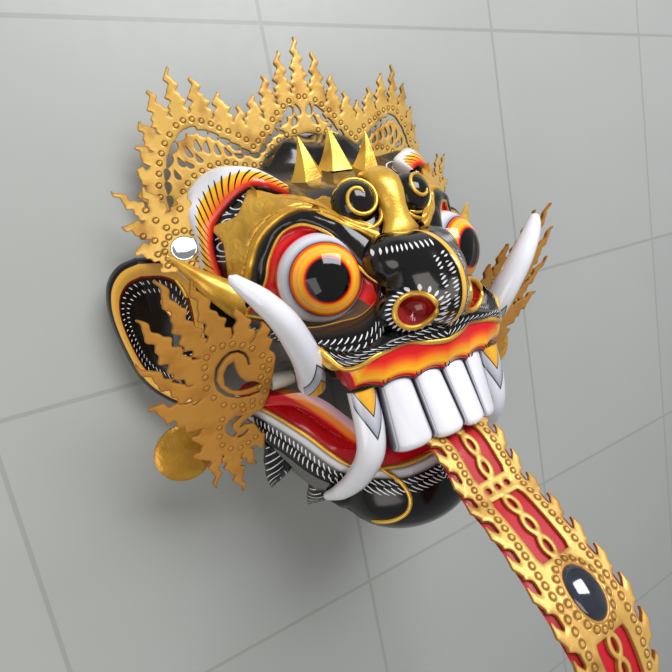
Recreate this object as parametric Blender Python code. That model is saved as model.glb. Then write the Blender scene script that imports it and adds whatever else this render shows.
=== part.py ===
# Rangda mask: a carved and painted wooden demon face with a gilt leather crown,
# lying on its back. All named sizes are millimetres; meshes are made in metres.
# X runs to the viewer's right, Y to the crown's top, Z out of the face.
# Z = 0 is the mask's flat back.
import math

import bmesh
import bpy
import numpy as np
from mathutils import Matrix, Vector
from mathutils.bvhtree import BVHTree
from mathutils.geometry import delaunay_2d_cdt

MM = 0.001
GAP = 0.3                      # clearance between neighbouring pieces

# Driving dimensions
CROWN_TOP_Y = 265.0
TONGUE_TIP_Y = -265.0
FACE_HALF_WIDTH = 118.0
BROW_Z = 152.0
EYE_CENTRE = (56.4, 65.0, 136.0)
EYE_RADIUS = 34.0
NOSE_BULB = ((0.0, 68.0, 178.0), (33.0, 20.0, 40.0))
NOSE_TIP = ((0.0, 45.0, 182.0), (20.0, 27.0, 42.0))
NOSE_WING = ((24.0, 35.0, 184.0), (17.0, 15.0, 20.0))
NOSTRIL = (26.0, 34.5, 205.0)
MUZZLE_Z = 199.0
VOLUTE = (27.0, 115.0, 162.0)
VOLUTE_RADIUS = 16.0
JAW_FOOT = 60.0                # lowest edge of the jaw's carved front
JAW_BACK = 46.0                # the jaw's back stands clear of the floor
TOOTH_WIDTH = 24.0
TONGUE_HALF_WIDTH = 27.0
LEATHER = 3.0                  # thickness of the gilt hide
HIDE = 2.5                     # thickness of the tongue's hide
GRID = 4.0                     # finest spacing of points on a carved front
EDGE_STEP = 13.0               # longest edge of a carved outline
WALL = 13.0                    # least depth of wood in front of the hollow
FACE_SLACK = 4.5               # furthest the face's facets leave the true carving
JAW_SLACK = 3.0

# Right half of the face's outline in plan, from the crown of the head down to
# the mouth corner and along the gum's edge to the middle.
FACE_OUTLINE = [
    (0, 186), (22, 184), (38, 174), (50, 160), (64, 159), (80, 161), (96, 158),
    (109, 150), (117, 139), (118, 122), (115, 102), (110, 80), (108, 55),
    (107, 30), (106, 6), (96, 6), (84, 7), (73, 4), (70, -8), (66, -20),
    (59, -24), (52, -20), (48, -15), (42, -24), (36, -27), (30, -24),
    (24, -17), (18, -26), (12, -29), (6, -26), (0, -19),
]
GUM_EDGE = FACE_OUTLINE[:21:-1]
# Crown of flames: tip and the valley after it, from the middle outwards.
CROWN_FLAMES = [
    ((0, 265), (9, 222)), ((17, 254), (25, 216)), ((33, 236), (38, 204)),
    ((45, 221), (55, 198)), ((58, 214), (65, 201)), ((75, 225), (81, 208)),
    ((92, 238), (99, 213)), ((110, 247), (114, 213)), ((126, 232), (126, 201)),
    ((137, 211), (133, 188)), ((143, 194), (137, 177)), ((147, 175), (141, 162)),
    ((150, 154), (141, 146)),
]
CROWN_END = [(140, 128), (134, 112)]
# Lowest and highest flame of the leaf at the temple, as tip and valley.
TEMPLE_FLAMES = [
    ((121, 148), (136, 138)), ((150, 158), (148, 142)), ((171, 160), (155, 133)),
    ((170, 132), (154, 118)), ((166, 110), (150, 100)), ((150, 90), (139, 90)),
]
TEMPLE_INNER = [(124, 88), (119.5, 100), (120, 122)]
# The large leaf in front of the ear, from its joint at the mouth corner.
EAR_LEAF = [
    (96, 17), (107, 24), (106, 30), (110, 45), (115, 33), (121, 42), (126, 60),
    (130, 42), (138, 55), (152, 71), (145, 43), (158, 64), (172, 86),
    (168, 62), (163, 34), (174, 52), (190, 66), (180, 38), (168, 13),
    (182, 28), (196, 36), (188, 18), (170, -3), (182, 0), (194, 3),
    (180, -12), (158, -27), (170, -24), (176, -30), (160, -36), (160, -48),
    (169, -56), (155, -49), (153, -66), (154, -88), (147, -63), (140, -80),
    (130, -102), (133, -65), (126, -70), (119, -77), (122, -60), (113, -62),
    (114, -48), (120, -37), (128, -33), (124, -28), (112, -24), (102, -2),
]
EAR_LEAF_OPENING = [(133, 24), (140, 12), (137, 0), (129, -4), (116, 1), (126, 4), (131, 12)]
EAR_LEAF_SCROLL = [(128, -37), (135, -33), (137, -42), (131, -51), (124, -46), (131, -44)]

SCENE = bpy.context.scene


def clear_scene():
    for obj in list(bpy.data.objects):
        bpy.data.objects.remove(obj, do_unlink=True)


def make_collection(name):
    collection = bpy.data.collections.new(name)
    SCENE.collection.children.link(collection)
    return collection


def make_material(name, rgb, roughness, metallic=0.0):
    material = bpy.data.materials.new(name)
    material.use_nodes = True
    shader = material.node_tree.nodes["Principled BSDF"]
    shader.inputs["Base Color"].default_value = (*rgb, 1.0)
    shader.inputs["Roughness"].default_value = roughness
    shader.inputs["Metallic"].default_value = metallic
    return material


def add_object(name, bm, material, collection):
    """Turn a bmesh in millimetres into a named object in metres."""
    bmesh.ops.remove_doubles(bm, verts=bm.verts, dist=0.01)
    bmesh.ops.recalc_face_normals(bm, faces=bm.faces)
    bmesh.ops.scale(bm, vec=(MM, MM, MM), verts=bm.verts)
    mesh = bpy.data.meshes.new(name)
    bm.to_mesh(mesh)
    bm.free()
    obj = bpy.data.objects.new(name, mesh)
    if material:
        mesh.materials.append(material)
    collection.objects.link(obj)
    return obj


def add_cutter(name, bm):
    obj = add_object(name, bm, None, CUTTERS)
    obj.hide_render = True
    obj.display_type = "WIRE"
    return obj


def boolean(obj, other, operation):
    modifier = obj.modifiers.new(f"{operation.lower()} {other.name}", "BOOLEAN")
    modifier.object = other
    modifier.operation = operation
    modifier.solver = "EXACT"


def mirrored(points):
    """A closed outline from its right half, which starts and ends on X = 0."""
    left = [(-x, y) for x, y in reversed(points) if x > 0]
    return list(points) + left


def flat_mesh(loops, low, high):
    """A plate between two heights, filled inside the outline loops."""
    curve = bpy.data.curves.new("outline", "CURVE")
    curve.dimensions = "2D"
    curve.fill_mode = "BOTH"
    curve.extrude = (high - low) / 2
    for loop in loops:
        spline = curve.splines.new("POLY")
        spline.points.add(len(loop) - 1)
        for point, (x, y) in zip(spline.points, loop):
            point.co = (x, y, 0, 1)
        spline.use_cyclic_u = True
    obj = bpy.data.objects.new("outline", curve)
    SCENE.collection.objects.link(obj)
    evaluated = obj.evaluated_get(bpy.context.evaluated_depsgraph_get())
    mesh = bpy.data.meshes.new_from_object(evaluated)
    bpy.data.objects.remove(obj, do_unlink=True)
    bm = bmesh.new()
    bm.from_mesh(mesh)
    bpy.data.meshes.remove(mesh)
    bmesh.ops.remove_doubles(bm, verts=bm.verts, dist=0.01)
    bmesh.ops.translate(bm, vec=(0, 0, (high + low) / 2), verts=bm.verts)
    return bm


def lay_on(bm, height):
    """Raise each point of a plate by the height of the surface under it."""
    for vert in bm.verts:
        vert.co.z += height(vert.co.x, vert.co.y)


def loft(rings):
    """A closed body through rings of equal length, with flat ends."""
    bm = bmesh.new()
    loops = [[bm.verts.new(point) for point in ring] for ring in rings]
    count = len(rings[0])
    for lower, upper in zip(loops, loops[1:]):
        for i in range(count):
            j = (i + 1) % count
            bm.faces.new((lower[i], lower[j], upper[j], upper[i]))
    bm.faces.new(reversed(loops[0]))
    bm.faces.new(loops[-1])
    return bm


def swept_horn(path, radii, sides=10):
    """A curved tusk: oval rings square to the path, wide and deep radii each."""
    points = [Vector(p) for p in path]
    rings = []
    for i, point in enumerate(points):
        ahead = points[min(i + 1, len(points) - 1)] - points[max(i - 1, 0)]
        side = ahead.cross(Vector((0, 0, 1))).normalized()
        up = side.cross(ahead).normalized()
        wide, deep = radii[i]
        angles = [2 * math.pi * k / sides for k in range(sides)]
        rings.append([point + side * wide * math.cos(a) + up * deep * math.sin(a) for a in angles])
    return loft(rings)


def catmull(points, steps):
    """Points of a smooth curve through the given ones."""
    pts = np.array(points, float)
    padded = np.vstack([2 * pts[0] - pts[1], pts, 2 * pts[-1] - pts[-2]])
    result = []
    for i in range(len(pts) - 1):
        a, b, c, d = padded[i:i + 4]
        for t in np.arange(steps) / steps:
            result.append(0.5 * (2 * b + (c - a) * t + (2 * a - 5 * b + 4 * c - d) * t * t
                                 + (3 * b - a - 3 * c + d) * t ** 3))
    result.append(pts[-1])
    return np.array(result)


def soft_max(a, b, blend):
    """Upper envelope of two surfaces with a rounded crease."""
    h = np.clip(0.5 + 0.5 * (a - b) / blend, 0, 1)
    return b * (1 - h) + a * h + blend * h * (1 - h)


def dome(x, y, centre, radii, power=2.0):
    """Height of an ellipsoid's upper half, or a deep floor outside it."""
    reach = (np.abs(x - centre[0]) / radii[0]) ** power + (np.abs(y - centre[1]) / radii[1]) ** power
    return np.where(reach < 1, centre[2] + radii[2] * np.clip(1 - reach, 0, 1) ** (1 / power), -60.0)


def ridge(x, y, path, radius):
    """Height of a round rod laid along a path of (x, y, z) points."""
    best = np.full(x.shape, -60.0)
    for (x0, y0, z0), (x1, y1, z1) in zip(path, path[1:]):
        length = (x1 - x0) ** 2 + (y1 - y0) ** 2
        t = np.clip(((x - x0) * (x1 - x0) + (y - y0) * (y1 - y0)) / length, 0, 1)
        away = np.hypot(x - x0 - t * (x1 - x0), y - y0 - t * (y1 - y0))
        height = z0 + t * (z1 - z0) + np.sqrt(np.clip(radius ** 2 - away ** 2, 0, None))
        best = np.maximum(best, np.where(away < radius, height, -60.0))
    return best


# The carved parts of the upper face, each a height over the plan.
ARCH_PATH = [(44, 142, 86), (58, 150, 84), (74, 153, 76), (92, 150, 66), (107, 140, 58),
             (110, 120, 56), (107, 98, 60), (103, 72, 70)]
BROW_PATH = [(40, 108, 148), (52, 117, 146), (68, 120, 138), (86, 113, 120), (98, 98, 104),
             (102, 78, 98), (100, 56, 96)]
LEAF_PATH = [(54, 128, 122), (68, 133, 116), (84, 128, 106), (97, 113, 92)]
BAG_PATH = [(44, 26, 178), (58, 20, 176), (70, 23, 168), (80, 34, 150)]
LIP_PATH = [(0, 8, 198), (28, 13, 194), (48, 8, 188), (62, 3, 178), (71, 5, 168), (77, 13, 156)]


def brow_mass(x, y):
    across = np.clip(1 - (x / 114) ** 3, 0, 1) ** 0.5
    reach = np.where(y > 50, 100.0, 140.0)
    along = np.clip(1 - (np.abs(y - 50) / reach) ** 3, 0, 1) ** 0.5
    return 60 + (BROW_Z - 60) * across * along


def muzzle(x, y):
    half = 72 + 21 * np.clip((y + 2) / 14, 0, 1)
    across = np.clip(1 - (x / half) ** 6, 0, 1) ** 0.5
    along = np.clip(1 - (np.clip(y - 12, 0, None) / 40) ** 2, 0, 1)
    return 60 + (MUZZLE_Z - 60 - 0.0036 * x ** 2) * across * along


def bridge(x, y):
    top = 157 + (132 - y) * 16 / 49 - (x / 16) ** 2 * 5
    return np.where((x < 17) & (y > 80) & (y < 133), top, -60.0)


def face_height(x, y):
    """The face without the forms that are joined on to it."""
    x = np.abs(x)
    z = dome(x, y, (0, 60, 18), (126, 122, 92))
    z = soft_max(z, dome(x, y, (0, 140, 40), (56, 48, 49)), 6)
    z = soft_max(z, brow_mass(x, y), 10)
    z = soft_max(z, bridge(x, y), 4)
    return soft_max(z, muzzle(x, y), 8)


# The lower jaw: a rim that runs round the mouth, a slope inside it and a chin.
JAW_RIM = [(0, -88, 158), (35, -90, 150), (62, -82, 130), (82, -60, 112), (96, -42, 94), (112, -24, 70)]
JAW_INSIDE = [(0, -72, 150), (32, -74, 145), (54, -56, 138), (70, -34, 134), (86, -14, 120)]
JAW_OUTLINE = [
    (0, -163), (22, -160), (40, -147), (56, -136), (74, -140), (75, -118), (84, -102), (90, -101),
    (105, -111), (101, -84), (104, -70), (110, -57), (115, -44), (116, -24), (106, -18), (90, -17),
    (80, -18), (68, -30), (52, -50), (32, -65), (0, -64),
]


def jaw_height(x, y):
    x = np.abs(x)
    z = np.maximum(ridge(x, y, JAW_RIM, 22) - 22, JAW_FOOT)
    z = soft_max(z, ridge(x, y, JAW_INSIDE, 14) - 14, 6)
    roll = [(px + 9, py - 16, pz - 20) for px, py, pz in JAW_RIM]
    z = soft_max(z, ridge(x, y, roll, 30) - 24, 8)
    return soft_max(z, dome(x, y, (0, -117, 120), (64, 44, 54)), 5)


def subdivided(points, step):
    """The same outline with no edge longer than the step."""
    result = []
    for (x0, y0), (x1, y1) in zip(points, points[1:]):
        count = math.ceil(math.hypot(x1 - x0, y1 - y0) / step)
        result.extend((x0 + (x1 - x0) * k / count, y0 + (y1 - y0) * k / count) for k in range(count))
    return result + [points[-1]]


def triangulated(outline, inside):
    """Triangles over a half outline's points and the points inside it."""
    points = [Vector(p) for p in outline + inside]
    verts, _, triangles, *_ = delaunay_2d_cdt(points, [], [range(len(outline))], 1, 0.001)
    return [tuple(v) for v in verts], triangles


def rest_points(outline, step):
    """Grid points inside a half outline, none close to its drawn edge."""
    verts, triangles = triangulated(outline, [])
    plate = BVHTree.FromPolygons([(x, y, 0) for x, y in verts], triangles)
    start, end = np.array(outline[:-1]), np.array(outline[1:])
    along = end - start
    points = []
    reach, low, high = np.max(start[:, 0]), np.min(start[:, 1]), np.max(start[:, 1])
    for x in np.arange(0, reach, step):
        for y in np.arange(low, high, step):
            t = np.clip((((x, y) - start) * along).sum(1) / (along ** 2).sum(1), 0, 1)
            away = np.linalg.norm(start + along * t[:, None] - (x, y), axis=1).min()
            hit = plate.ray_cast((max(x, 0.01), y, 1), (0, 0, -1))[0]
            if hit and away > 0.6 * step:
                points.append((float(x), float(y)))
    return points


def fitted(height, outline, step, slack):
    """A surface over the right half of an outline, as points and triangles.

    Points are added round by round where the surface leaves the triangles by
    more than the slack.
    """
    spare = rest_points(outline, step)
    inside = []
    for _ in range(24):
        flat, triangles = triangulated(outline, inside)
        plan = np.array(flat)
        solid = BVHTree.FromPolygons([(*p, z) for p, z in zip(flat, height(plan[:, 0], plan[:, 1]))], triangles)
        tops = height(*np.array(spare).T)
        misses = []
        for (x, y), z in zip(spare, tops):
            hit = solid.ray_cast((max(x, 0.01), y, 900), (0, 0, -1))[0]
            misses.append(abs(hit.z - z) if hit else 0.0)
        picked = []
        for i in sorted(range(len(spare)), key=lambda i: (-misses[i], i)):
            if misses[i] <= slack:
                break
            if all(math.hypot(spare[i][0] - x, spare[i][1] - y) > 2.6 * step for x, y in picked):
                picked.append(spare[i])
        if not picked:
            break
        inside.extend(picked)
        spare = [p for p in spare if p not in picked]
    return flat, triangles


def carved_body(front, back, outline, step, slack):
    """A closed body between two height functions inside a symmetric outline."""
    edge = subdivided(outline, EDGE_STEP)
    bm = bmesh.new()
    for surface, spacing, miss in ((front, step, slack), (back, 2 * step, 3 * slack)):
        flat, triangles = fitted(surface, edge, spacing, miss)
        plan = np.array(flat)
        tops = surface(plan[:, 0], plan[:, 1])
        for side in (1, -1):
            verts = [bm.verts.new((side * x, y, z)) for (x, y), z in zip(flat, tops)]
            for triangle in triangles:
                bm.faces.new([verts[i] for i in triangle])
    loop = np.array(mirrored(edge))
    high, low = front(loop[:, 0], loop[:, 1]), back(loop[:, 0], loop[:, 1])
    for i in range(len(loop)):
        j = (i + 1) % len(loop)
        corners = [(*loop[i], high[i]), (*loop[j], high[j]), (*loop[j], low[j]), (*loop[i], low[i])]
        bm.faces.new([bm.verts.new(corner) for corner in corners])
    return bm


def cone_between(foot, tip, radius, sides=8, taper=0.05):
    """A tapered spike from its foot to its tip."""
    foot, tip = Vector(foot), Vector(tip)
    bm = bmesh.new()
    bmesh.ops.create_cone(bm, cap_ends=True, segments=sides, radius1=radius, radius2=taper * radius,
                          depth=(tip - foot).length)
    turn = (tip - foot).to_track_quat("Z", "Y").to_matrix().to_4x4()
    bmesh.ops.transform(bm, matrix=Matrix.Translation((foot + tip) / 2) @ turn, verts=bm.verts)
    return bm


def behind(front, x, y):
    """The front's lowest height round each point, less the wall's thickness."""
    spots = [front(x + dx, y + dy) for dx in (-7, 0, 7) for dy in (-7, 0, 7)]
    return np.min(spots, axis=0) - WALL


def face_back(x, y):
    head = dome(x, y, (0, 66, -30), (102, 100, 190), 3)
    mouth = dome(x, y, (0, -20, -30), (76, 62, 215), 6)
    return np.maximum(np.minimum(np.maximum(head, mouth), behind(face_height, x, y)), 0)


def jaw_back(x, y):
    bowl = dome(x, y, (0, -36, 20), (94, 104, 140), 3)
    return np.maximum(np.minimum(bowl, behind(jaw_height, x, y)), JAW_BACK)


def swept_rod(path, radius, steps=1, sides=7):
    """A round rod along a smooth path, thinned at both of its ends."""
    line = catmull(path, steps)
    shares = np.linspace(0, 1, len(line))
    radii = [(radius * (0.45 + 0.55 * min(1, 5 * min(t, 1 - t))),) * 2 for t in shares]
    return swept_horn(line, radii, sides)


def ball(centre, radii, segments, rings):
    bm = bmesh.new()
    bmesh.ops.create_uvsphere(bm, u_segments=segments, v_segments=rings, radius=1.0)
    bmesh.ops.scale(bm, vec=radii, verts=bm.verts)
    bmesh.ops.translate(bm, vec=centre, verts=bm.verts)
    return bm


def on_side(side, point):
    return (side * point[0], point[1], point[2])


def add_joined(name, bm):
    """A form that is carved in one with the face."""
    obj = add_cutter(name, bm)
    CUTTERS.objects.unlink(obj)
    JOINED.objects.link(obj)


def make_face():
    body = carved_body(face_height, face_back, FACE_OUTLINE, GRID, FACE_SLACK)
    face = add_object("face", body, LACQUER, PARTS)
    add_joined("nose bulb", ball(*NOSE_BULB, 12, 7))
    add_joined("nose tip", ball(*NOSE_TIP, 12, 7))
    lip = [on_side(-1, p) for p in reversed(LIP_PATH[1:])] + LIP_PATH
    add_joined("lip", swept_rod(lip, 6.5))
    add_joined("forehead spike", cone_between((0, 140, 84), (0, 184, 84), 13))
    for side in (-1, 1):
        add_joined("eye", ball(on_side(side, EYE_CENTRE), (EYE_RADIUS,) * 3, 16, 9))
        add_joined("nose wing", ball(on_side(side, NOSE_WING[0]), NOSE_WING[1], 10, 6))
        for name, path, radius in (("arch", ARCH_PATH, 10), ("leaf band", LEAF_PATH, 9),
                                   ("brow", BROW_PATH, 9), ("bag", BAG_PATH, 9)):
            add_joined(name, swept_rod([on_side(side, p) for p in path], radius))
        for name, foot, tip, radius in (("side spike", (25, 135, 86), (31, 177, 92), 12),
                                        ("temple spike", (98, 56, 84), (152, 104, 74), 11)):
            add_joined(name, cone_between(on_side(side, foot), on_side(side, tip), radius))
        turned = cone_between(on_side(side, (*VOLUTE[:2], 140)), on_side(side, VOLUTE), VOLUTE_RADIUS, 12, 0.8)
        add_joined("volute", turned)
    modifier = face.modifiers.new("join the carved forms", "BOOLEAN")
    modifier.operand_type = "COLLECTION"
    modifier.collection = JOINED
    modifier.operation = "UNION"
    modifier.solver = "EXACT"
    for side in (-1, 1):
        boolean(face, add_cutter(f"nostril {side}", ball(on_side(side, NOSTRIL), (12.5, 10.5, 13), 10, 6)),
                "DIFFERENCE")


def make_lower_jaw():
    body = carved_body(jaw_height, jaw_back, JAW_OUTLINE, GRID, JAW_SLACK)
    add_object("lower_jaw", body, LACQUER, PARTS)


def make_upper_teeth():
    """Four incisors carved as one band that bows forward below the gum."""
    columns = 25
    reach = 2 * TOOTH_WIDTH
    bm = bmesh.new()
    rows = [-17.5, -34.0, -46.0, -60.0]
    layers = []
    for back in (0, 1):
        layer = []
        for row, y in enumerate(rows):
            line = []
            for i in range(columns):
                x = -reach + 2 * reach * i / (columns - 1)
                across = (abs(x) % TOOTH_WIDTH) / TOOTH_WIDTH
                crown = math.sin(math.pi * across) ** 0.6
                fall = (y - rows[0]) / (rows[-1] - rows[0])
                front = (188 - 0.004 * x * x) * (1 - fall) + (211 - 0.0095 * x * x) * fall
                z = front - 4.0 * (1 - crown) if not back else front - 11.0
                low = y if row < len(rows) - 1 else -53 - 0.004 * x * x - 2.5 * crown
                if row == 0:
                    low = np.interp(abs(x), [p[0] for p in GUM_EDGE], [p[1] for p in GUM_EDGE]) - 1.6
                line.append(bm.verts.new((x, low, z)))
            layer.append(line)
        layers.append(layer)
    front, back = layers
    for r in range(len(rows) - 1):
        for i in range(columns - 1):
            bm.faces.new((front[r][i], front[r][i + 1], front[r + 1][i + 1], front[r + 1][i]))
            bm.faces.new((back[r][i], back[r + 1][i], back[r + 1][i + 1], back[r][i + 1]))
    for i in range(columns - 1):
        bm.faces.new((front[0][i], back[0][i], back[0][i + 1], front[0][i + 1]))
        bm.faces.new((front[-1][i], front[-1][i + 1], back[-1][i + 1], back[-1][i]))
    for r in range(len(rows) - 1):
        bm.faces.new((front[r][0], front[r + 1][0], back[r + 1][0], back[r][0]))
        bm.faces.new((front[r][-1], back[r][-1], back[r + 1][-1], front[r + 1][-1]))
    add_object("upper_teeth", bm, TOOTH, PARTS)


def make_tusks():
    canine = [(59.5, -26, 172), (59.5, -45, 174), (61, -64, 171), (67, -86, 155), (75, -101, 137), (82, -111, 117)]
    canine_size = [(10.5, 8), (11.5, 8), (11, 8), (9.5, 7), (6.5, 5), (1.2, 1)]
    lower = [(82, -6, 141), (88, 8, 157), (98, 27, 169), (110, 46, 175), (122, 63, 176), (132, 77, 172)]
    lower_size = [(9, 11.5), (8.5, 11), (8, 10), (7, 8.5), (5, 6.5), (1.2, 1.6)]
    for side, label in ((-1, "left"), (1, "right")):
        for name, path, size in (("upper_canine", canine, canine_size), ("lower_tusk", lower, lower_size)):
            placed = [(side * x, y, z) for x, y, z in path]
            smooth = catmull(placed, 2)
            radii = catmull(size, 2)
            add_object(f"{name}_{label}", swept_horn(smooth, radii), TOOTH, PARTS)


def make_corner_pegs():
    """A short wooden tube at each mouth corner, its bore open outwards."""
    profile = [(6.5, 0), (6.5, 19), (3.2, 19), (3.2, 8)]
    for side, label in ((-1, "left"), (1, "right")):
        rings = []
        sides = 12
        for radius, along in profile:
            ring = []
            for k in range(sides):
                turn = 2 * math.pi * k / sides
                ring.append((side * (82 + along), -8 + radius * math.cos(turn), 105 + radius * math.sin(turn)))
            rings.append(ring)
        add_object(f"corner_peg_{label}", loft(rings), WOOD, PARTS)


def crown_height(x, y):
    """The crown bows back towards its sides and its foot."""
    return 55.5 - 0.1 * (CROWN_TOP_Y - y) - 0.0006 * x ** 2 - 3e-8 * x ** 4


def flame(valley, tip, after):
    """A tongue of fire: it swells near its foot and sways before its tip."""
    base, point, end = Vector(valley), Vector(tip), Vector(after)
    middle = (base + end) / 2
    sway = Vector((point.y - middle.y, middle.x - point.x)).normalized() * 1.6
    rising = base.lerp(point, 0.38) + (base - middle) * 0.18
    falling = end.lerp(point, 0.38) + (end - middle) * 0.18
    return [rising, base.lerp(point, 0.72) + sway, point, end.lerp(point, 0.68) + sway * 1.3, falling]


def flame_edge(start, flames):
    """Outline points through a row of flames, given as tips and valleys."""
    points = [Vector(start)]
    for tip, valley in flames:
        points.extend(flame(points[-1], tip, valley))
        points.append(Vector(valley))
    return [(p.x, p.y) for p in points]


def grown(points, distance):
    """An outline moved outwards by a distance."""
    pts = np.array(points, float)
    ahead = np.roll(pts, -1, axis=0) - np.roll(pts, 1, axis=0)
    normal = np.stack([ahead[:, 1], -ahead[:, 0]], axis=1)
    normal /= np.linalg.norm(normal, axis=1)[:, None]
    centre = pts.mean(axis=0)
    if ((pts - centre) * normal).sum() < 0:
        normal = -normal
    return pts + normal * distance


def crown_piercings():
    """Pierced scrolls between the two rows of rings, on both sides."""
    holes = [[(-7, 206), (0, 211), (7, 206), (0, 199)]]
    teardrops = [(18, 197, -40), (33, 193, -50), (96, 198, 15), (82, 192, 35), (68, 183, 35), (108, 188, -20),
                 (117, 176, -35)]
    for x, y, turn in teardrops:
        a = math.radians(turn)
        shape = [(-7, 0), (-3, 4), (4, 4.5), (8, 0), (4, -4.5), (-3, -4)]
        ring = [(x + u * math.cos(a) - v * math.sin(a), y + u * math.sin(a) + v * math.cos(a)) for u, v in shape]
        holes.append(ring)
        holes.append([(-px, py) for px, py in ring])
    return holes


def make_crown():
    first_tip, first_valley = CROWN_FLAMES[0]
    right = flame_edge(first_valley, CROWN_FLAMES[1:]) + CROWN_END
    opening = grown(mirrored(FACE_OUTLINE), 1.2)
    inner = [(x, y) for x, y in opening if x >= 0 and y > 108]
    inner.sort(key=lambda p: math.atan2(p[0], p[1] - 90), reverse=True)
    top = flame((-first_valley[0], first_valley[1]), first_tip, first_valley)
    half = right + [(x, y) for x, y in inner if x > 0.5]
    bottom = [(0, 188)]
    loop = [tuple(p) for p in top] + half + bottom + [(-x, y) for x, y in reversed(half)]
    bm = flat_mesh([loop] + crown_piercings(), 0, LEATHER)
    lay_on(bm, crown_height)
    add_object("crown", bm, GILT, PARTS)


def temple_height(x, y):
    return 61.5 - 0.55 * np.clip(abs(x) - 121, 0, None)


def make_temple_leaves():
    """Leaves of flame over the crown's ends, each with a round mirror."""
    outline = flame_edge(TEMPLE_INNER[-1], TEMPLE_FLAMES) + TEMPLE_INNER[:-1]
    for side, label in ((-1, "left"), (1, "right")):
        loop = [(side * x, y) for x, y in outline]
        bm = flat_mesh([loop], 0, LEATHER)
        lay_on(bm, temple_height)
        add_object(f"temple_leaf_{label}", bm, GILT, PARTS)
        mirror = bmesh.new()
        bmesh.ops.create_cone(mirror, cap_ends=True, segments=20, radius1=9.5, radius2=8.5, depth=2.0)
        bmesh.ops.translate(mirror, vec=(side * 131.5, 106, 1.0 + LEATHER + GAP), verts=mirror.verts)
        lay_on(mirror, temple_height)
        add_object(f"temple_mirror_{label}", mirror, MIRROR, PARTS)


def ear_leaf_height(x, y):
    return 119 - 0.07 * (abs(x) - 100) + 0.5 * (y - 4)


def make_ear_leaves():
    for side, label in ((-1, "left"), (1, "right")):
        loops = [[(side * x, y) for x, y in loop] for loop in (EAR_LEAF, EAR_LEAF_OPENING, EAR_LEAF_SCROLL)]
        bm = flat_mesh(loops, 0, LEATHER)
        lay_on(bm, ear_leaf_height)
        add_object(f"ear_leaf_{label}", bm, OCHRE, PARTS)


def make_ears():
    """Each ear is a long hollow dish, turned and then drawn out and tilted."""
    profile = [(0.72, 0.0), (1.0, 20.0), (0.96, 28.0), (0.86, 29.0), (0.72, 22.0), (0.5, 9.0)]
    sides = 20
    for side, label in ((-1, "left"), (1, "right")):
        rings = []
        for reach, height in profile:
            ring = []
            for k in range(sides):
                turn = 2 * math.pi * k / sides
                u = reach * 39 * math.cos(turn)
                v = reach * 66 * math.sin(turn)
                x = 154 + u * 0.96 - v * 0.12
                y = 40 + v * 0.98 + u * 0.22
                ring.append((side * x, y, 6 + height + 0.25 * (166 - x) * reach))
            rings.append(ring)
        add_object(f"ear_{label}", loft(rings), LACQUER, PARTS)


def make_ear_discs():
    profile = [(22.5, 0.0), (23.0, 1.5), (21.0, 3.8), (5.0, 4.6), (2.0, 7.4)]
    sides = 18
    for side, label in ((-1, "left"), (1, "right")):
        rings = []
        for radius, height in profile:
            angles = [2 * math.pi * k / sides for k in range(sides)]
            rings.append([(side * 171 + radius * math.cos(a), -52 + radius * math.sin(a), 66 + height)
                          for a in angles])
        add_object(f"ear_disc_{label}", loft(rings), GILT, PARTS)


# The tongue's middle line in side view: out of the mouth, up and over.
TONGUE_PATH = [(-8, 158), (-30, 161), (-48, 175), (-61, 192), (-70, 206), (-84, 217), (-97, 228), (-107, 244),
               (-118, 259), (-130, 273), (-142, 287), (-156, 299), (-174, 309), (-196, 316), (-220, 318),
               (-243, 314), (-265, 306)]


def tongue_frames():
    """Points along the tongue with the directions square to its face."""
    path = catmull([(0, y, z) for y, z in TONGUE_PATH], 2)
    ahead = np.gradient(path, axis=0)
    ahead /= np.linalg.norm(ahead, axis=1)[:, None]
    out = np.stack([np.zeros(len(path)), ahead[:, 2], -ahead[:, 1]], axis=1)
    return path, out


def tongue_width(row, rows):
    """Half width: even to past the gem, then drawn to a point."""
    t = row / (rows - 1)
    swell = 3.0 * math.exp(-((t - 0.62) / 0.12) ** 2)
    return (TONGUE_HALF_WIDTH + swell) * min(1.0, (max(1 - t, 0.0) / 0.26) ** 0.7) + 1.0


def strip_body(columns, low, high, first_row=0, last_row=None, skip=None):
    """A band on the tongue from cells of a grid, solid between two heights.

    columns(row) gives the cells' edges across the band, and skip(row, cell)
    tells which cells are open.
    """
    path, out = tongue_frames()
    last_row = last_row or len(path) - 1
    bm = bmesh.new()
    layers = {}
    for height in (low, high):
        for row in range(first_row, last_row + 1):
            for k, across in enumerate(columns(row, len(path))):
                point = path[row] + out[row] * height
                layers[height, row, k] = bm.verts.new((across, point[1], point[2]))
    cells = {(row, k) for row in range(first_row, last_row)
             for k in range(len(columns(row, len(path))) - 1) if not (skip and skip(row, k))}
    for row, k in sorted(cells):
        corners = [(row, k), (row, k + 1), (row + 1, k + 1), (row + 1, k)]
        bm.faces.new([layers[(high, *c)] for c in corners])
        bm.faces.new([layers[(low, *c)] for c in reversed(corners)])
        beside = [(row - 1, k), (row, k + 1), (row + 1, k), (row, k - 1)]
        for near, a, b in zip(beside, corners, corners[1:] + corners[:1]):
            if near not in cells:
                bm.faces.new([layers[(high, *b)], layers[(high, *a)], layers[(low, *a)], layers[(low, *b)]])
    loose = [vert for vert in bm.verts if not vert.link_faces]
    bmesh.ops.delete(bm, geom=loose, context="VERTS")
    return bm


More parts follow.
